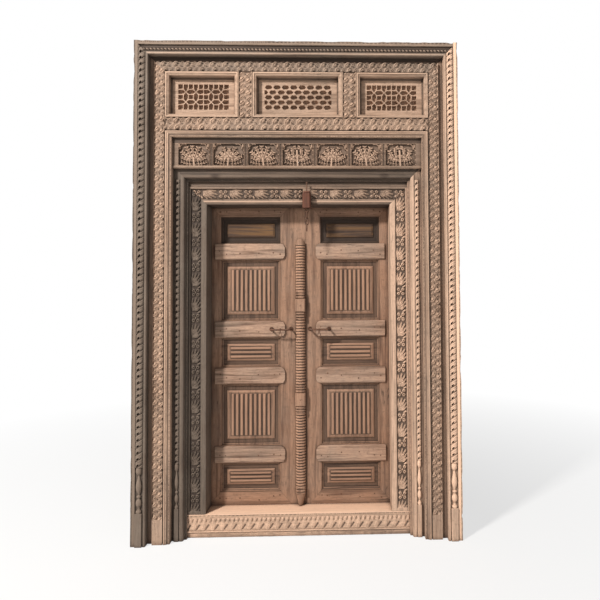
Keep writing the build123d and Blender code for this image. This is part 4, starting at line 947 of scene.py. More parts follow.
def frieze(f):
    """Board of flower squares between grooved pilasters."""
    squares, end, post = 7, 36.0, 28.0
    low, high = f.frieze_low + 16, f.surround_low - 35
    pitch = (2 * (f.surround - end) + post) / squares
    width = pitch - post
    kinds = [0, 1, 0, 2, 1, 0, 2]
    fields = [pattern(width, high - low, draw_flower(width, high - low, k), periodic=False) for k in (0, 1, 2)]

    def square_row(along, v):
        place = (along + (squares / 2) * pitch) / pitch
        index = np.clip(np.floor(place).astype(int), 0, squares - 1)
        u = (place - index) * pitch - post / 2
        rise = np.zeros_like(u + v)
        tone = np.zeros_like(rise)
        inside = (u > 0) & (u < width) & (np.abs(along) < f.surround - end)
        for i, kind in enumerate(kinds):
            carve = sampled(fields[kind], width, high - low, -14.0, 1.5, floor_tone=0.5, light=0.45)
            here = inside & (index == i)
            r, t = carve(np.clip(u, 0.01, width - 0.01), 1 - v)
            rise = np.where(here, r, rise)
            tone = np.where(here, np.maximum(t, -0.55), tone)
        # grooves of the pilasters
        off = np.minimum(np.abs(u + post / 2), np.abs(u - width - post / 2))
        groove = (~inside) & (np.abs(along) < f.surround - end - 5)
        dots = np.mod((v * (high - low)) / 9.0, 1.0) < 0.5
        cut = np.where(groove & (off < 4), np.where(dots, -4.5, -2.5), 0.0)
        cut = np.where(groove & (off > 9) & (off < 11), -3.0, cut)
        # Painted shade in the grooves and on the ends of the board, and a light tone on the pilasters as painted
        # highlight.
        plain = np.where(inside, tone, np.where(np.abs(along) < f.surround - end, 0.2, -0.5))
        return rise + cut, np.where(cut < 0, -0.8, plain)

    board = member([
        # Painted shade on the top of the board and on the strip under the carved rail, standing for the rail's shadow.
        Strip((f.surround_low, 188), (f.surround_low, 52), 1, shade(-0.5)),
        Strip((f.surround_low - 1, 52), (high + 4, 52), 3, shade(-0.85)),
        Strip((high + 3, 51), (high + 1, 52), 1, None),
        Strip((high, 52), (low, 52), 56, square_row),
        Strip((low - 1, 50), (low - 4, 48), 1, None),
        Strip((low - 5, 48), (f.frieze_low + 1, 48), 3, round_over(1.5, -0.25)),
        Strip((f.frieze_low, 49), (f.frieze_low, f.surround_back), 2, None),
    ], f.surround_back, lambda a: -f.surround + 0 * a, lambda a: f.surround + 0 * a, level(), 2.6)
    fixed("flower_frieze", board, "pale_wood_level", "frieze_board", sharp=50.0)


def inner_frame(f):
    """Uprights with the thin twisted colonettes, and the moulded head above them."""
    flat, colonette = f.surround - 13, f.surround - 42
    hollow = colonette - 24
    pitch, width = 36.0, 28.0
    for name, side in SIDES:
        field = pattern(pitch, width, draw_twist(pitch, width))
        twist = sampled(field, pitch, width, 0.0, 11.0, start=413 % pitch, flip=side > 0)

        def roll(along, v, twist=twist):
            rise, tone = twist(along, v)
            blank = (along < 440) | (along > f.rope_head_low + 6)
            # Painted shade on the plain ends of the roll.
            return np.where(blank, 0.0, rise), np.where(blank, -0.2, tone)

        def top_line(a, f=f):
            return np.minimum(f.frieze_low, f.rope_head_low + (a - f.rope_inner))

        part = member([
            Strip((f.surround, f.rope_back - 2), (f.surround, 71), 2, None),
            # Painted shade on the flat and in the hollow beside the colonette.
            Strip((f.surround - 0.5, 70), (flat, 70), 3, shade(-0.15)),
            Strip((flat - 0.5, 70), (colonette + 0.5, 70), 11, roll),
            Strip((colonette, 69), (colonette, 65), 1, None),
            Strip((colonette - 0.5, 64), (hollow + 5, 64), 4, round_over(1.0)),
            Strip((hollow + 2, 65), (hollow - 2, 83), 2, None),
            Strip((hollow - 3, 84), (f.rope_inner + 7, 84), 2, shade(-0.3)),
            Strip((f.rope_inner + 6.5, 84), (f.rope_inner + 0.5, 84), 2, draw_ticks(8.0)),
            Strip((f.rope_inner, 85), (f.rope_inner, f.rope_back), 2, None),
        ], f.rope_back, lambda a: 0 * a, top_line, upright(side), 3.0,
            (f.rope_inner + f.frieze_low - f.rope_head_low,))
        x = side * (flat + colonette) / 2
        base = turned(x, 70, PLINTH, baluster(13.5), 20)
        foot = box_part(x - 13.5, x + 13.5, 0, 187, 58, 72, 2.0, 0.05)
        fixed(f"inner_upright_{name}", merge_parts([part, base, foot]), f"inner_wood_{name}", f"rope_jamb_{name}")

    low, high = f.rope_head_low, f.frieze_low

    def half_line(a):
        return f.rope_inner + (a - low)

    head = member([
        Strip((high, 238), (high, 71), 2, None),
        # Painted shade on the faces and quirks of the head, on top of its shaded finish.
        Strip((high - 1, 70), (low + 44, 70), 2, shade(-0.1)),
        Strip((low + 41, 69), (low + 38, 65), 1, shade(-0.4)),
        Strip((low + 37, 64), (low + 18, 64), 4, round_over(1.2)),
        Strip((low + 17, 66), (low + 13, 83), 2, shade(-0.2)),
        Strip((low + 12, 84), (low + 7.5, 84), 1, shade(-0.4)),
        Strip((low + 7, 84), (low + 0.5, 84), 2, draw_ticks(8.0)),
        Strip((low, 85), (low, 240), 2, None),
    ], 240, lambda a: -half_line(a), half_line, level(), 4.0)
    fixed("inner_head", head, "shaded_wood_level", "rope_head")


def rosette_frame(f):
    """Innermost uprights and lintel with the rosette bands."""
    outer, inner = f.rope_inner - 11, f.opening + 32
    pitch, width = 150.0, 62.0
    field = pattern(pitch, width, draw_rosettes(pitch, width))
    rebate = box_mm("rosette_jamb_right")[1]
    heel = rebate - f.rosette_back
    for name, side in SIDES:
        leaves = sampled(field, pitch, width, -10.0, 1.5, start=f.opening_top - 75, flip=side > 0, floor_tone=0.45,
                         light=0.6)

        def band(along, v, leaves=leaves):
            rise, tone = leaves(along, v)
            edge = (v < 0.02) | (v > 0.98) | (along < f.rosette_low + 18)
            return np.where(edge, 0.0, rise), np.where(edge, 0.1, tone)

        part = member([
            Strip((f.rope_inner, 288), (f.rope_inner, 98), 2, None),
            Strip((f.rope_inner - 0.5, 98), (outer, 98), 4, round_over(1.0)),
            Strip((outer - 0.5, 97), (inner + 0.5, 97), 21, band),
            # Painted shade in the quirk and a light tone on the fillet, as painted highlight.
            Strip((inner, 97), (inner - 2, 97), 1, shade(-0.3)),
            Strip((inner - 3, 97), (f.opening + 4, 97), 2, shade(0.1)),
            Strip((f.opening + 1, 98), (f.opening, 101), 1, None),
            Strip((f.opening, 102), (f.opening, REBATE), 2, None),
            Strip((f.opening + 38, REBATE), (f.opening + 38, FRAME_DEPTH), 1, None),
        ], 290, lambda a: f.rosette_low + 0 * a, lambda a: f.opening_top + (a - f.opening), upright(side), 3.4)
        fixed(f"rosette_upright_{name}", part, f"inner_wood_{name}", f"rosette_jamb_{name}")

    low = f.opening_top
    high = f.rope_head_low
    leaves = sampled(field, pitch, width, -10.0, 1.5, floor_tone=0.45, light=0.9)

    def band(along, v):
        rise, tone = leaves(along, v)
        edge = (v < 0.02) | (v > 0.98) | (np.abs(along - 50) < 26)
        return np.where(edge, 0.0, rise), np.where(edge, 0.1, tone)

    bead = low + 106

    def half_line(a):
        return np.minimum(f.opening + (a - low), f.rope_inner)

    head = member([
        Strip((high, 288), (high, 104), 2, None),
        # Painted shade on the faces above and below the band and on the soffit, and painted highlight on the lower
        # round.
        Strip((high - 1, 102), (bead + 14, 102), 2, shade(-0.6)),
        Strip((bead + 13, 102), (bead + 3, 102), 3, shade(-0.5)),
        Strip((bead + 1, 100), (bead, 98), 1, shade(-0.5)),
        Strip((bead - 0.5, 98), (bead - 10.5, 98), 4, round_over(1.0, -0.3)),
        Strip((bead - 11.5, 97), (low + 32.5, 97), 21, band),
        Strip((low + 32, 98), (low + 24, 98), 2, draw_ticks(8.0)),
        Strip((low + 23, 98), (low + 12, 98), 4, round_over(1.6, 0.8)),
        Strip((low + 11, 99), (low + 4, 99), 2, shade(-0.6)),
        Strip((low + 1, 99), (low, 101), 1, shade(-0.8)),
        Strip((low, 102), (low, REBATE), 2, shade(-0.85)),
        Strip((low + 24, REBATE), (low + 24, FRAME_DEPTH), 1, None),
    ], 290, lambda a: -half_line(a), half_line, level(), 3.0, (low + f.rope_inner - f.opening,))
    fixed("rosette_lintel", head, "lintel_wood", "lintel")


def threshold(f):
    """Sill with its row of petals."""
    left, right, low, high, front, back = box_mm("sill")
    base, tall, pitch = 41.0, 77.0, 53.0

    def draw(field, u, v):
        np.maximum(field, 0.5, out=field)
        for centre in (0.0, pitch):
            stroke(field, u, v, [(centre - 3, 8), (centre + 4, 30), (centre + 13, 52)], [13, 14, 5], [0.85, 1.0, 0.7])
            groove_line(field, u, v, [(centre - 2, 10), (centre + 9, 44)], 1.8, 0.25)
            for foot in (6, 32):
                stroke(field, u, v, [(centre + foot, 50), (centre + foot + 3, 72)], [7, 3.5], [0.9, 0.75])
            pit = np.zeros_like(field)
            stroke(pit, u, v, [(centre + 13, 6), (centre + 29, 31)], [3, 7], 0.9)
            for foot in (17, 43):
                stroke(pit, u, v, [(centre + foot, 50), (centre + foot + 3, 68)], [3.2, 2.2], 0.8)
            np.minimum(field, np.where(pit > 0, 0.5 - 0.5 * pit, 9), out=field)

    field = pattern(pitch, tall, draw)
    petals = sampled(field, pitch, tall, -9.0, 1.0, start=pitch / 2, flip=True, light=0.15)
    rng = np.random.default_rng(7)
    wave = rng.uniform(-1, 1, 64)

    def worn(along, v):
        t = (along - left) / (right - left) * 63
        i = np.clip(np.floor(t).astype(int), 0, 62)
        w = wave[i] + (wave[i + 1] - wave[i]) * (t - i)
        return -3.0 - 2.5 * w + 0 * v, -0.1 + 0.2 * w + 0 * v

    part = member([
        # Painted highlight on the top, the front arris and the fillet under the petals, and painted shade in the quirk
        # below them.
        Strip((high, back), (high, front + 5), 3, shade(0.6)),
        Strip((high - 2, front + 1), (high - 5, front), 1, shade(0.5)),
        Strip((high - 6, front + 1), (high - 13, front + 1), 3, draw_ticks(8.0)),
        Strip((high - 15, front + 2), (base + tall, front + 2), 1, None),
        Strip((base + tall - 0.5, front), (base + 0.5, front), 26, petals),
        Strip((base, front), (base - 7, front), 2, shade(0.2)),
        Strip((base - 8, front + 2), (base - 11, front + 4), 1, shade(-0.5)),
        Strip((base - 12, front + 4), (2, front + 4), 6, worn),
        Strip((0, front + 10), (0, back), 2, None),
    ], back, lambda a: left + 0 * a, lambda a: right + 0 * a, level(), 3.0)
    fixed("petal_threshold", part, "threshold_wood", "sill")


# Leaves

def cushion(half, z, radius, depth):
    """Roll across the half column, rounded over at its ends."""
    path = [(-half + 1 + radius, depth + 12, z), (-half + 2 + radius, depth + 4, z), (-half + 8 + radius, depth, z),
            (half - 8 - radius, depth, z), (half - 2 - radius, depth + 4, z), (half - 1 - radius, depth + 12, z)]
    return tube(smooth_path(path, per=4), radius, 12)


def half_column():
    """Ribbed half column on the meeting edge, with its two blocks and collars."""
    left, right, low, high, front, back = box_mm("astragal")
    half = right
    rib = 17.0
    levels = [(low + 637, 41), (high - 408, 41)]

    def ribs(along, v):
        swell = np.sqrt(np.clip(1 - ((v - 0.5) / 0.5) ** 2, 0, 1))
        wave = np.abs(np.sin(math.pi * along / rib))
        ribbed = (along > low + 88) & (along < high - 34)
        rise = 30 * swell + np.where(ribbed, 6.5 * wave ** 0.7 - 6.0, -2.0)
        # Painted shade in the valleys between the ribs and painted highlight on their crests.
        tone = np.where(ribbed, np.where(wave < 0.5, -1.0, 0.6), 0.15)
        return rise - 30, tone

    def crown(a):
        drop = half - np.sqrt(np.clip(half * half - a * a, 0, None))
        return high - drop

    shaft = member([
        Strip((half, back - 1), (half, front + 33), 2, None),
        Strip((half - 0.3, front + 5), (-half + 0.3, front + 5), 18, ribs),
        Strip((-half, front + 33), (-half, back - 1), 2, None),
    ], back, lambda a: low + 0 * a, crown,
        lambda along, across, depth: np.stack([across * np.clip(0.5 + (along - low) / 130, 0.5, 1), depth, along], -1),
        2.8)
    parts = [shaft]
    for middle, reach in levels:
        parts.append(box_part(-half, half, middle - reach, middle + reach, front, back, 5.0, 0.2))
        parts.append(dome(0, middle, 7.5, front, 2.2))
        for way in (-1, 1):
            parts.append(cushion(half, middle + way * (reach + 9), 8.0, front + 11))
            parts.append(cushion(half, middle + way * (reach + 26), 6.5, front + 8.5))
            parts.append(cushion(half, middle + way * (reach + 40), 5.0, front + 9))
    for z, radius in ((low + 74, 5.0), (low + 88, 8.0), (low + 104, 5.5)):
        parts.append(cushion(half, z, radius, front + 10))
    fixed("ribbed_half_column", merge_parts(parts), "leaf_wood_upright", "astragal",
          slot="leaf_wood", sharp=45.0, body="left_leaf")


def panel_part(name):
    """Panel with a raised field inside a stepped margin, plain or reeded."""
    left, right, low, high, front, back = box_mm(name)
    left, right, low, high = left + TONGUE, right - TONGUE, low + TONGUE, high - TONGUE
    face = 232.0
    tall = "tall" in name
    top = "top" in name
    parts = []
    profile = [(0, face + 1), (0, face - 13), (2, face - 14.5), (5, face - 14.5), (7, face - 11), (8, face - 9),
               (12, face - 5.5), (14, face - 5.5), (15.5, face - 4.5), (16, face + 1)]
    # Painted shade in the quirks of the margin and on the panel's sunk ground, and painted highlight on the faces of
    # the moulding.
    tones = [-0.9, -0.4, 0.45, 0.45, -0.8, -0.7, 0.0, 0.3, -0.6, -0.95]
    parts.append(mitred_frame(left, right, low, high, profile, tones))
    parts.append(box_part(left - TONGUE, right + TONGUE, low - TONGUE, high + TONGUE, face + 4, face + 12, 0.5, -0.3))
    parts.append(box_part(left, right, low, high, face, face + 16, 0.5, -0.6))
    mx, mz = (37.0, 40.0)
    if not top:
        parts.append(field_part(left, right, low, high, mx, mz, face))
        edge_x, edge_z = (22, 20) if tall else (20, 13)
        x0, x1 = left + mx + edge_x, right - mx - edge_x
        z0, z1 = low + mz + edge_z, high - mz - edge_z
        count = 9 if tall else 3
        # Painted shade on the bed behind the reeds.
        parts.append(box_part(x0, x1, z0, z1, face - 10.4, face - 9, 0.3, -0.85))
        for i in range(count):
            if tall:
                pitch = (x1 - x0) / count
                parts.append(reed(x0 + (i + 0.09) * pitch, x0 + (i + 0.91) * pitch, z0, z1, face - 9.4, True))
            else:
                pitch = (z1 - z0) / count
                parts.append(reed(z0 + (i + 0.09) * pitch, z0 + (i + 0.91) * pitch, x0, x1, face - 9.4, False))
    return merge_parts(parts)


def field_part(left, right, low, high, mx, mz, face):
    """Raised field with a quirk and a sloping border."""
    # Painted shade in the quirk round the field and painted highlight on its sloping border.
    rings = [(0, face + 1, -0.95), (0, face - 4.5, -0.6), (1.2, face - 5.5, 0.3), (3, face - 5.5, 0.1),
             (9, face - 9.2, 0.55), (10.5, face - 10, 0.3), (13, face - 10, -0.1)]
    points, tones, quads = [], [], []
    for inset, depth, tone in rings:
        a, b, c, d = left + mx + inset, right - mx - inset, low + mz + inset, high - mz - inset
        points += [(a, depth, c), (b, depth, c), (b, depth, d), (a, depth, d)]
        tones += [tone] * 4
    for i in range(len(rings) - 1):
        for k in range(4):
            n = (k + 1) % 4
            quads.append([i * 4 + k, i * 4 + n, (i + 1) * 4 + n, (i + 1) * 4 + k])
    last = (len(rings) - 1) * 4
    quads.append([last, last + 1, last + 2, last + 3])
    quads.append([3, 2, 1, 0])
    return np.array(points, float), np.array(quads), [], np.array(tones)


def reed(a, b, low, high, ground, tall):
    """Rounded bar between two edges, with rounded ends."""
    steps = 6
    rows = [(0.0, 0.0), (0.02, 0.75), (0.5, 1.0), (0.98, 0.75), (1.0, 0.0)]
    points, tones, quads = [], [], []
    for t, scale in rows:
        for i in range(steps + 1):
            s = i / steps
            rise = 7.5 * scale * math.sqrt(max(0.0, 1 - (2 * s - 1) ** 2))
            across, along = a + s * (b - a), low + t * (high - low)
            depth = ground + 1.5 - (rise + 1.5 if rise else 0)
            points.append((across, depth, along) if tall else (along, depth, across))
            # Painted highlight along the crown of each reed and painted shade at its edges.
            tones.append((0.5 if 1 < i < steps - 1 else 0.0) if 0 < i < steps else -0.95)
    n = steps + 1
    for r in range(len(rows) - 1):
        for i in range(steps):
            quads.append([r * n + i, r * n + i + 1, (r + 1) * n + i + 1, (r + 1) * n + i])
    caps = [[r * n for r in range(len(rows))] + [r * n + steps for r in reversed(range(len(rows)))]]
    return np.array(points, float), np.array(quads), caps, np.array(tones)


def leaf_panels():
    for side in ("left", "right"):
        for level_name in ("bottom_panel", "lower_tall_panel", "handle_panel", "upper_tall_panel", "top_panel"):
            node = f"{side}_{level_name}"
            part = panel_part(node)
            material = "top_panel_wood" if level_name == "top_panel" else (
                "panel_wood_upright" if "tall" in level_name else "panel_wood_level")
            fixed(f"{side}_{level_name}_dressed", part, material, node, slot="leaf_wood", sharp=30.0,
                  body=f"{side}_leaf")
        left, right, low, high, front, back = box_mm(f"{side}_top_panel")
        field = field_part(left + TONGUE, right - TONGUE, low + TONGUE, high - TONGUE, 37.0, 40.0, 232.0)
        fixed(f"{side}_top_field", field, "top_field_wood", slot="leaf_wood", sharp=30.0, body=f"{side}_leaf")


def end_rail(side, node, panel, corner):
    """Top or bottom rail flush with the stiles, mitred from the panel to the corners of the leaf."""
    left, right, low, high, front, back = box_mm(f"{side}_{panel}")
    left, right, inner = left + TONGUE, right - TONGUE, (low + TONGUE if corner < low else high - TONGUE)
    rail_back = box_mm(f"{side}_{node}")[5]
    run = 0.85 * abs(corner - inner)
    outline = [(left, inner), (right, inner), (right + run, corner), (left - run, corner)]
    way = 1 if corner > inner else -1
    face = [(left + 1.5, inner + way * 0.5), (right - 1.5, inner + way * 0.5), (right + run - 2.5, corner - way * 0.5),
            (left - run + 2.5, corner - way * 0.5)]
    points = [(x, 224, z) for x, z in outline] + [(x, 215.2, z) for x, z in outline]
    points += [(x, RAIL_FACE, z) for x, z in face]
    quads = [[0, 1, 2, 3], [8, 11, 10, 9]]
    for i in range(4):
        n = (i + 1) % 4
        quads += [[i, 4 + i, 4 + n, n], [4 + i, 8 + i, 8 + n, 4 + n]]
    board = np.array(points, float), np.array(quads), [], np.array([-1.0] * 8 + [0.0] * 4)
    body = box_part(left, right, min(inner, corner), max(inner, corner), 216, rail_back, 0.5, 0.0)
    fixed(f"{side}_{node}_dressed", merge_parts([board, body]), "end_rail_wood", f"{side}_{node}",
          slot="leaf_wood", sharp=30.0, body=f"{side}_leaf")


def leaf_timbers():
    """Worn arrises on the stiles and rails, and the nails in the rails."""
    rng = random.Random(11)
    for side in ("left", "right"):
        for node in ("hanging_stile", "meeting_stile"):
            dress_node(f"{side}_{node}", "leaf_wood_upright", 1.6)
        nails = []
        for node in ("bottom_rail", "lower_rail", "middle_rail", "handle_rail", "upper_rail", "top_rail"):
            left, right, low, high, front, back = box_mm(f"{side}_{node}")
            if node == "bottom_rail":
                end_rail(side, node, "bottom_panel", box_mm(f"{side}_hanging_stile")[2])
                front = RAIL_FACE
            elif node == "top_rail":
                end_rail(side, node, "top_panel", box_mm(f"{side}_hanging_stile")[3])
                front = RAIL_FACE
            else:
                dress_node(f"{side}_{node}", "leaf_wood_level", 2.0)
            middle = (low + min(high, low + 92)) / 2
            for t in (0.07, 0.16, 0.36, 0.62, 0.84, 0.93):
                x = left + t * (right - left) + rng.uniform(-4, 4)
                nails.append(dome(x, middle + rng.uniform(-16, 16), rng.uniform(4.2, 5.6), front, 2.0, 2, 10))
        points, quads, caps, relief = merge_parts(nails)
        piece = make_piece(f"{side}_nails", points, quads, caps, relief, "wrought_iron")
        settle(piece, f"{side}_leaf", "iron")


def dress_node(name, material, wear):
    """Finish a CAD node and soften its arrises."""
    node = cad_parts[name]
    node.data.materials.clear()
    node.data.materials.append(bpy.data.materials[material])
    edge = node.modifiers.new("worn arrises", "BEVEL")
    edge.width = wear / 1000
    edge.segments = 2
    edge.limit_method = "ANGLE"
    edge.angle_limit = math.radians(30)


def pull_middle(side):
    left, right, low, high, front, back = box_mm(f"{side}_pull")
    return (left + right) / 2, front + 6.5, (low + high) / 2


def ironwork():
    """Pulls with their pendants."""
    for side, way in (("left", -1), ("right", 1)):
        x, depth, z = pull_middle(side)
        x = way * 117
        inner, outer = x - way * 59, x + way * 59
        corners = [(inner, 214, z), (inner, 200, z), (inner, 170, z), (inner + way * 3, 156, z),
                   (inner + way * 12, 148.5, z), (x - way * 20, 148, z), (x + way * 20, 148, z),
                   (outer - way * 12, 148.5, z), (outer - way * 3, 156, z), (outer, 170, z), (outer, 188, z),
                   (outer, 202, z)]
        bar = tube(smooth_path(corners, per=5), 5.9, 14)
        parts = [bar]
        for seat_x, seat in ((inner, 215), (outer, 203)):
            ring = [(seat_x + 11 * math.cos(a), seat - 2.2, z + 11 * math.sin(a))
                    for a in [2 * math.pi * k / 20 for k in range(20)]]
            parts.append(tube(ring, 2.2, 8, closed=True))
            parts.append(dome(seat_x, z, 11.5, seat, 1.8, 3, 20))
        points, quads, caps, relief = merge_parts(parts)
        piece = make_piece(f"{side}_wrought_pull", points, quads, caps, relief, "wrought_iron", 50.0)
        settle(piece, f"{side}_leaf", "iron", f"{side}_pull")

        ring = [(x, 148 + 8.4 * math.cos(a), z + 8.4 * math.sin(a))
                for a in [2 * math.pi * k / 24 for k in range(24)]]
        collar = tube(ring, 2.0, 8, closed=True)
        drop = smooth_path([(x, 148, z - 10.5), (x + 5, 148, z - 22), (x + 10, 148, z - 38), (x + 8, 148, z - 42),
                            (x, 148, z - 41.5), (x - 8, 148, z - 42), (x - 10, 148, z - 38), (x - 5, 148, z - 22)],
                           closed=True, per=4)
        drop = tube(drop, 1.9, 8, closed=True)
        points, quads, caps, relief = merge_parts([collar, drop])
        piece = make_piece(f"{side}_drop", points, quads, caps, relief, "wrought_iron", 50.0)
        settle(piece, f"{side}_pendant", "iron", f"{side}_pendant")


def link_loop(x, depth, low, high, reach, along_x):
    """Rounded loop through which the next one hangs."""
    pts = []
    for k in range(32):
        a = 2 * math.pi * k / 32
        s, c = math.sin(a), math.cos(a)
        w = math.copysign(abs(s) ** 0.8, s) * reach
        h = math.copysign(abs(c) ** 0.75, c) * (high - low) / 2
        middle = (low + high) / 2
        pts.append((x + w, depth, middle + h) if along_x else (x, depth + w, middle + h))
    return pts


def latch():
    """Block with its pin and the hanging chain."""
    left, right, low, high, front, back = box_mm("latch_block")
    # Painted shade on the sides of the block and painted highlight on its chamfers and cap.
    part = member([
        Strip((left, back - 1), (left, front + 8), 2, shade(-0.2)),
        Strip((left + 1.5, front + 5), (left + 7, front), 2, shade(0.2)),
        Strip((left + 8, front), (right - 8, front), 3, shade(0.05)),
        Strip((right - 7, front), (right - 1.5, front + 5), 2, shade(0.2)),
        Strip((right, front + 8), (right, back - 1), 2, shade(-0.2)),
    ], back, lambda a: low + 0 * a, lambda a: high - 14 + 0 * a,
        lambda along, across, depth: np.stack([across, depth, along], -1), 12.0)
    cap = box_part(left + 4, right - 4, high - 15, high, front + 10, back, 5.0, 0.2)
    fixed("latch_block_dressed", merge_parts([part, cap]), "latch_block_wood", "latch_block", slot="latch_wood")

    x = (left + right) / 2
    depth = (front + back) / 2
    box = box_mm("latch_pin")
    eye = tube(link_loop(x, depth, low - 3.3 - 22, low - 3.3, 9, True), 2.9, 10, closed=True)
    shank = tube([(x, depth, low - 4), (x, depth, low + 20), (x, depth, high + 30), (x, depth, box[3] - 3)],
                 [3, 3, 3, 3.4], 12)
    knob = turned(x, depth, box[3] - 9, [(0, 3), (1.5, 5.4), (4, 6), (7, 5.2), (9, 1.5)], 16)
    points, quads, caps, relief = merge_parts([eye, shank, knob])
    piece = make_piece("latch_pin_dressed", points, quads, caps, relief, "wrought_iron", 50.0)
    settle(piece, "frame", "iron", "latch_pin")
    for i in range(1, 4):
        left, right, low, high, front, back = box_mm(f"chain_link_{i}")
        along_x = right - left > back - front
        x, depth = (left + right) / 2, (front + back) / 2
        loop = tube(link_loop(x, depth, low + 3, high - 3, 9, along_x), 2.9, 10, closed=True)
        points, quads, caps, relief = loop
        piece = make_piece(f"wrought_link_{i}", points, quads, caps, relief, "wrought_iron", 50.0)
        settle(piece, f"chain_link_{i}", "iron", f"chain_link_{i}")


def lattices():
    for name in ("left", "centre", "right"):
        dress_node(f"lattice_{name}", "lattice_wood", 1.2)


# Panel, operators and settings

class DoorSizes(bpy.types.PropertyGroup):
    """Sizes of the dressing."""
    notch_depth: bpy.props.FloatProperty(
        name="Notch depth", description="Depth of the little notches along the fillets", default=0.0022,
        min=0.0005, max=0.006, unit="LENGTH")
    camera_lens: bpy.props.FloatProperty(
        name="Lens", description="Focal length of the camera", default=29.2, min=15, max=100, unit="CAMERA")


class DoorColours(bpy.types.PropertyGroup):
    """Colours of the dressing."""
    pale: bpy.props.FloatVectorProperty(
        name="Carved wood", description="Raised faces of the carving", subtype="COLOR", size=3,
        default=(0.46, 0.305, 0.215), min=0, max=1)
    pale_dark: bpy.props.FloatVectorProperty(
        name="Carved wood, grain", description="Darker grain of the carved wood", subtype="COLOR", size=3,
        default=(0.24, 0.15, 0.10), min=0, max=1)
    leaf: bpy.props.FloatVectorProperty(
        name="Leaf wood", description="Wood of the two leaves", subtype="COLOR", size=3,
        default=(0.34, 0.195, 0.125), min=0, max=1)
    leaf_dark: bpy.props.FloatVectorProperty(
        name="Leaf wood, grain", description="Darker grain of the leaves", subtype="COLOR", size=3,
        default=(0.12, 0.062, 0.04), min=0, max=1)
    weather: bpy.props.FloatVectorProperty(
        name="Weathering", description="Grey bloom of weathered wood", subtype="COLOR", size=3,
        default=(0.25, 0.205, 0.165), min=0, max=1)
    # This colour darkens the specks, knots and cracks of the wood as old grime, and it is also the colour of the
    # painted shade in the hollows.
    dirt_and_shade: bpy.props.FloatVectorProperty(
        name="Dirt", description="Old dirt in the hollows", subtype="COLOR", size=3,
        default=(0.035, 0.022, 0.016), min=0, max=1)
    orange: bpy.props.FloatVectorProperty(
        name="Old finish", description="Orange remnant on the top panels", subtype="COLOR", size=3,
        default=(0.17, 0.085, 0.03), min=0, max=1)
    latch: bpy.props.FloatVectorProperty(
        name="Latch block", description="Red-brown wood of the latch block", subtype="COLOR", size=3,
        default=(0.13, 0.05, 0.03), min=0, max=1)
    iron: bpy.props.FloatVectorProperty(
        name="Iron", description="Bare wrought iron", subtype="COLOR", size=3,
        default=(0.075, 0.06, 0.05), min=0, max=1)
    rust: bpy.props.FloatVectorProperty(
        name="Rust", description="Rust on the iron", subtype="COLOR", size=3,
        default=(0.13, 0.055, 0.028), min=0, max=1)


class FinishesOperator(bpy.types.Operator):
    """Make the wood and iron finishes"""
    bl_idname = "carved_door.finishes"
    bl_label = "Make finishes"

    def execute(self, context):
        c = colours()
        pale, dark = list(c.pale), list(c.pale_dark)

        def mixed(share, gain):
            return [(a * (1 - share) + b * share) * gain for a, b in zip(pale, c.weather)]

        wood("pale_wood_upright", pale, dark, "z", 0.3, 0.3)
        wood("pale_wood_level", mixed(0.1, 1.0), dark, "x", 7.6, 0.3)
        wood("weathered_wood_level", mixed(0.4, 0.9), mixed(0.5, 0.35), "x", 2.9, 0.6)
        wood("lintel_wood", mixed(0.1, 0.82), mixed(0.2, 0.34), "x", 14.9, 0.3)
        wood("shaded_wood_level", mixed(0.3, 0.34), mixed(0.4, 0.16), "x", 5.3, 0.15,
             knots=((-0.488, 2.118), (0.512, 2.121)))
        # Lit and shaded copies of one wood: the left architrave and inner frames are darker and greyer as painted
        # shade, and the right ones are lighter as painted light.
        wood("architrave_wood_left", mixed(0.6, 0.46), mixed(0.6, 0.22), "z", 4.3, 0.5)
        wood("architrave_wood_right", mixed(0.0, 1.45), mixed(0.2, 0.7), "z", 5.9, 0.25)
        wood("inner_wood_left", mixed(0.6, 0.38), mixed(0.6, 0.18), "z", 6.1, 0.3)
        wood("inner_wood_right", mixed(0.0, 1.35), mixed(0.2, 0.6), "z", 8.2, 0.2)
        wood("threshold_wood", mixed(0.0, 1.4), mixed(0.1, 0.8), "x", 9.4, 0.15)
        wood("carved_head_wood", mixed(0.3, 0.82), mixed(0.3, 0.4), "x", 1.6, 0.4)
        wood("window_wood", mixed(0.1, 1.05), dark, "x", 7.7, 0.3)
        wood("lattice_wood", mixed(0.1, 1.1), dark, "x", 3.7, 0.2, sunk=True)
        leaf, leaf_dark = list(c.leaf), list(c.leaf_dark)
        grey_leaf = [v * 0.95 + w * 0.45 for v, w in zip(leaf, c.weather)]
        wood("end_rail_wood", leaf, leaf_dark, "x", 16.3, 0.2, crack=0.9)
        wood("leaf_wood_upright", leaf, leaf_dark, "z", 8.9, 0.25, crack=0.9)
        wood("leaf_wood_level", grey_leaf, [v * 0.8 for v in leaf_dark], "x", 10.1, 0.45, crack=0.9)
        wood("panel_wood_upright", [v * 0.88 for v in leaf], [v * 0.8 for v in leaf_dark], "z", 10.9, 0.15, crack=0.6)
        wood("panel_wood_level", [v * 0.88 for v in leaf], [v * 0.8 for v in leaf_dark], "x", 11.9, 0.1, crack=0.4)
        # The top panels are made very dark as painted shadow of the lintel over the tops of the leaves; the orange
        # streaks are old finish.
        wood("top_panel_wood", [v * 0.15 for v in leaf], [v * 0.2 for v in leaf_dark], "x", 12.7, 0.05, crack=0.3)
        wood("top_field_wood", [v * 0.25 for v in leaf], [v * 0.3 for v in leaf_dark], "x", 15.7, 0.05,
             crack=0.3, streak=c.orange)
        wood("latch_block_wood", c.latch, [v * 0.45 for v in c.latch], "z", 13.7, 0.0, crack=0.2)
        iron("wrought_iron")
        return {"FINISHED"}


class OuterFrameOperator(bpy.types.Operator):
    """Build the outer architrave with its twisted roll"""
    bl_idname = "carved_door.outer_frame"
    bl_label = "Outer architrave"

    def execute(self, context):
        outer_frame(Frame())
        return {"FINISHED"}


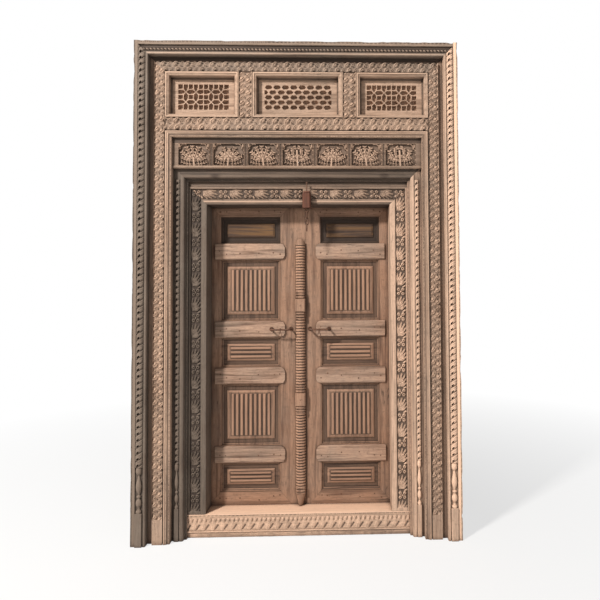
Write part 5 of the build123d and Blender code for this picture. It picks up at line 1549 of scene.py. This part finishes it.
class SurroundOperator(bpy.types.Operator):
    """Build the carved surround, its rails and posts"""
    bl_idname = "carved_door.surround"
    bl_label = "Carved surround"

    def execute(self, context):
        surround(Frame())
        return {"FINISHED"}


class WindowsOperator(bpy.types.Operator):
    """Build the window mouldings and finish the pierced boards"""
    bl_idname = "carved_door.windows"
    bl_label = "Windows"

    def execute(self, context):
        windows()
        lattices()
        return {"FINISHED"}


class FriezeOperator(bpy.types.Operator):
    """Build the frieze of flower squares"""
    bl_idname = "carved_door.frieze"
    bl_label = "Flower frieze"

    def execute(self, context):
        frieze(Frame())
        return {"FINISHED"}


class InnerFrameOperator(bpy.types.Operator):
    """Build the inner uprights, the rosette bands and the threshold"""
    bl_idname = "carved_door.inner_frame"
    bl_label = "Inner frames"

    def execute(self, context):
        f = Frame()
        inner_frame(f)
        rosette_frame(f)
        threshold(f)
        return {"FINISHED"}


class LeavesOperator(bpy.types.Operator):
    """Build the panels, the half column and the nails of the leaves"""
    bl_idname = "carved_door.leaves"
    bl_label = "Leaves"

    def execute(self, context):
        leaf_timbers()
        leaf_panels()
        half_column()
        return {"FINISHED"}


class IronworkOperator(bpy.types.Operator):
    """Build the pulls, their drops, the latch and its chain"""
    bl_idname = "carved_door.ironwork"
    bl_label = "Ironwork"

    def execute(self, context):
        ironwork()
        latch()
        return {"FINISHED"}


class StageOperator(bpy.types.Operator):
    """Lay the floor, set the lamps and the camera"""
    bl_idname = "carved_door.stage"
    bl_label = "Stage"

    def execute(self, context):
        scene = context.scene
        floor = bpy.data.meshes.new("floor")
        floor.from_pydata([(-30, -30, 0), (30, -30, 0), (30, 30, 0), (-30, 30, 0)], [], [(0, 1, 2, 3)])
        floor.materials.append(floor_finish("floor_white", (0.8, 0.8, 0.8)))
        floor_object = bpy.data.objects.new("floor", floor)
        floor_object.location.z = -0.0005
        context.collection.objects.link(floor_object)

        world = bpy.data.worlds.new("studio")
        scene.world = world
        world.use_nodes = True
        tree = world.node_tree
        tree.nodes.clear()
        soft = add_node(tree, "ShaderNodeBackground", {"Color": (1, 0.99, 0.97, 1), "Strength": 0.25}).outputs[0]
        white = add_node(tree, "ShaderNodeBackground", {"Color": (1, 1, 1, 1), "Strength": 1.0}).outputs[0]
        rays = add_node(tree, "ShaderNodeLightPath")
        seen = maths(tree, "MAXIMUM", rays.outputs["Is Camera Ray"], rays.outputs["Is Glossy Ray"])
        both = add_node(tree, "ShaderNodeMixShader", {0: seen, 1: soft, 2: white}).outputs[0]
        add_node(tree, "ShaderNodeOutputWorld", {"Surface": both})

        for name, place, size, power, tint in (
                ("key", (-4.2, -4.8, 6.0), 0.8, 860, (1.0, 0.965, 0.92)),
                ("fill", (4.6, -5.2, 1.8), 4.0, 55, (0.96, 0.98, 1.0))):
            lamp = bpy.data.lights.new(name, "AREA")
            lamp.shape = "SQUARE"
            lamp.size = size
            lamp.energy = power
            lamp.color = tint
            lamp_object = bpy.data.objects.new(name, lamp)
            lamp_object.location = place
            lamp_object.rotation_euler = (Vector((0, 0, 1.4)) - Vector(place)).to_track_quat("-Z", "Y").to_euler()
            context.collection.objects.link(lamp_object)

        camera = bpy.data.cameras.new("camera")
        camera.sensor_width = 36
        camera.sensor_fit = "HORIZONTAL"
        camera.lens = sizes().camera_lens
        camera.shift_x, camera.shift_y = -0.09206, -0.0349
        camera_object = bpy.data.objects.new("camera", camera)
        turn, tilt, roll = 0.02768, 0.02906, -0.00584
        camera_object.location = (0.25546, -2.94977, 1.4222)
        camera_object.rotation_euler = (Matrix.Rotation(-turn, 3, "Z") @ Matrix.Rotation(math.pi / 2 + tilt, 3, "X")
                                        @ Matrix.Rotation(roll, 3, "Z")).to_euler()
        context.collection.objects.link(camera_object)
        scene.camera = camera_object
        scene.view_settings.view_transform = "Standard"
        return {"FINISHED"}


class DoorSidebar(bpy.types.Panel):
    """Lists the steps of the carved door"""
    bl_idname = "VIEW3D_PT_carved_door"
    bl_label = "Carved door"
    bl_space_type = "VIEW_3D"
    bl_region_type = "UI"
    bl_category = "Carved door"

    def draw(self, context):
        for name in DoorSizes.__annotations__:
            self.layout.prop(context.scene.door_sizes, name)
        for name in DoorColours.__annotations__:
            self.layout.prop(context.scene.door_colours, name)
        for step in steps:
            self.layout.operator(step.bl_idname)


steps = (FinishesOperator, OuterFrameOperator, SurroundOperator, WindowsOperator, FriezeOperator,
         InnerFrameOperator, LeavesOperator, IronworkOperator, StageOperator)
classes = (DoorSizes, DoorColours) + steps + (DoorSidebar,)


def register():
    for item in classes:
        bpy.utils.register_class(item)
    bpy.types.Scene.door_sizes = bpy.props.PointerProperty(type=DoorSizes)
    bpy.types.Scene.door_colours = bpy.props.PointerProperty(type=DoorColours)


def unregister():
    del bpy.types.Scene.door_colours
    del bpy.types.Scene.door_sizes
    for item in reversed(classes):
        bpy.utils.unregister_class(item)


def main():
    register()
    bpy.ops.carved_door.finishes()
    bpy.ops.carved_door.outer_frame()
    bpy.ops.carved_door.surround()
    bpy.ops.carved_door.windows()
    bpy.ops.carved_door.frieze()
    bpy.ops.carved_door.inner_frame()
    bpy.ops.carved_door.leaves()
    bpy.ops.carved_door.ironwork()
    bpy.ops.carved_door.stage()


if __name__ == "__main__":
    main()
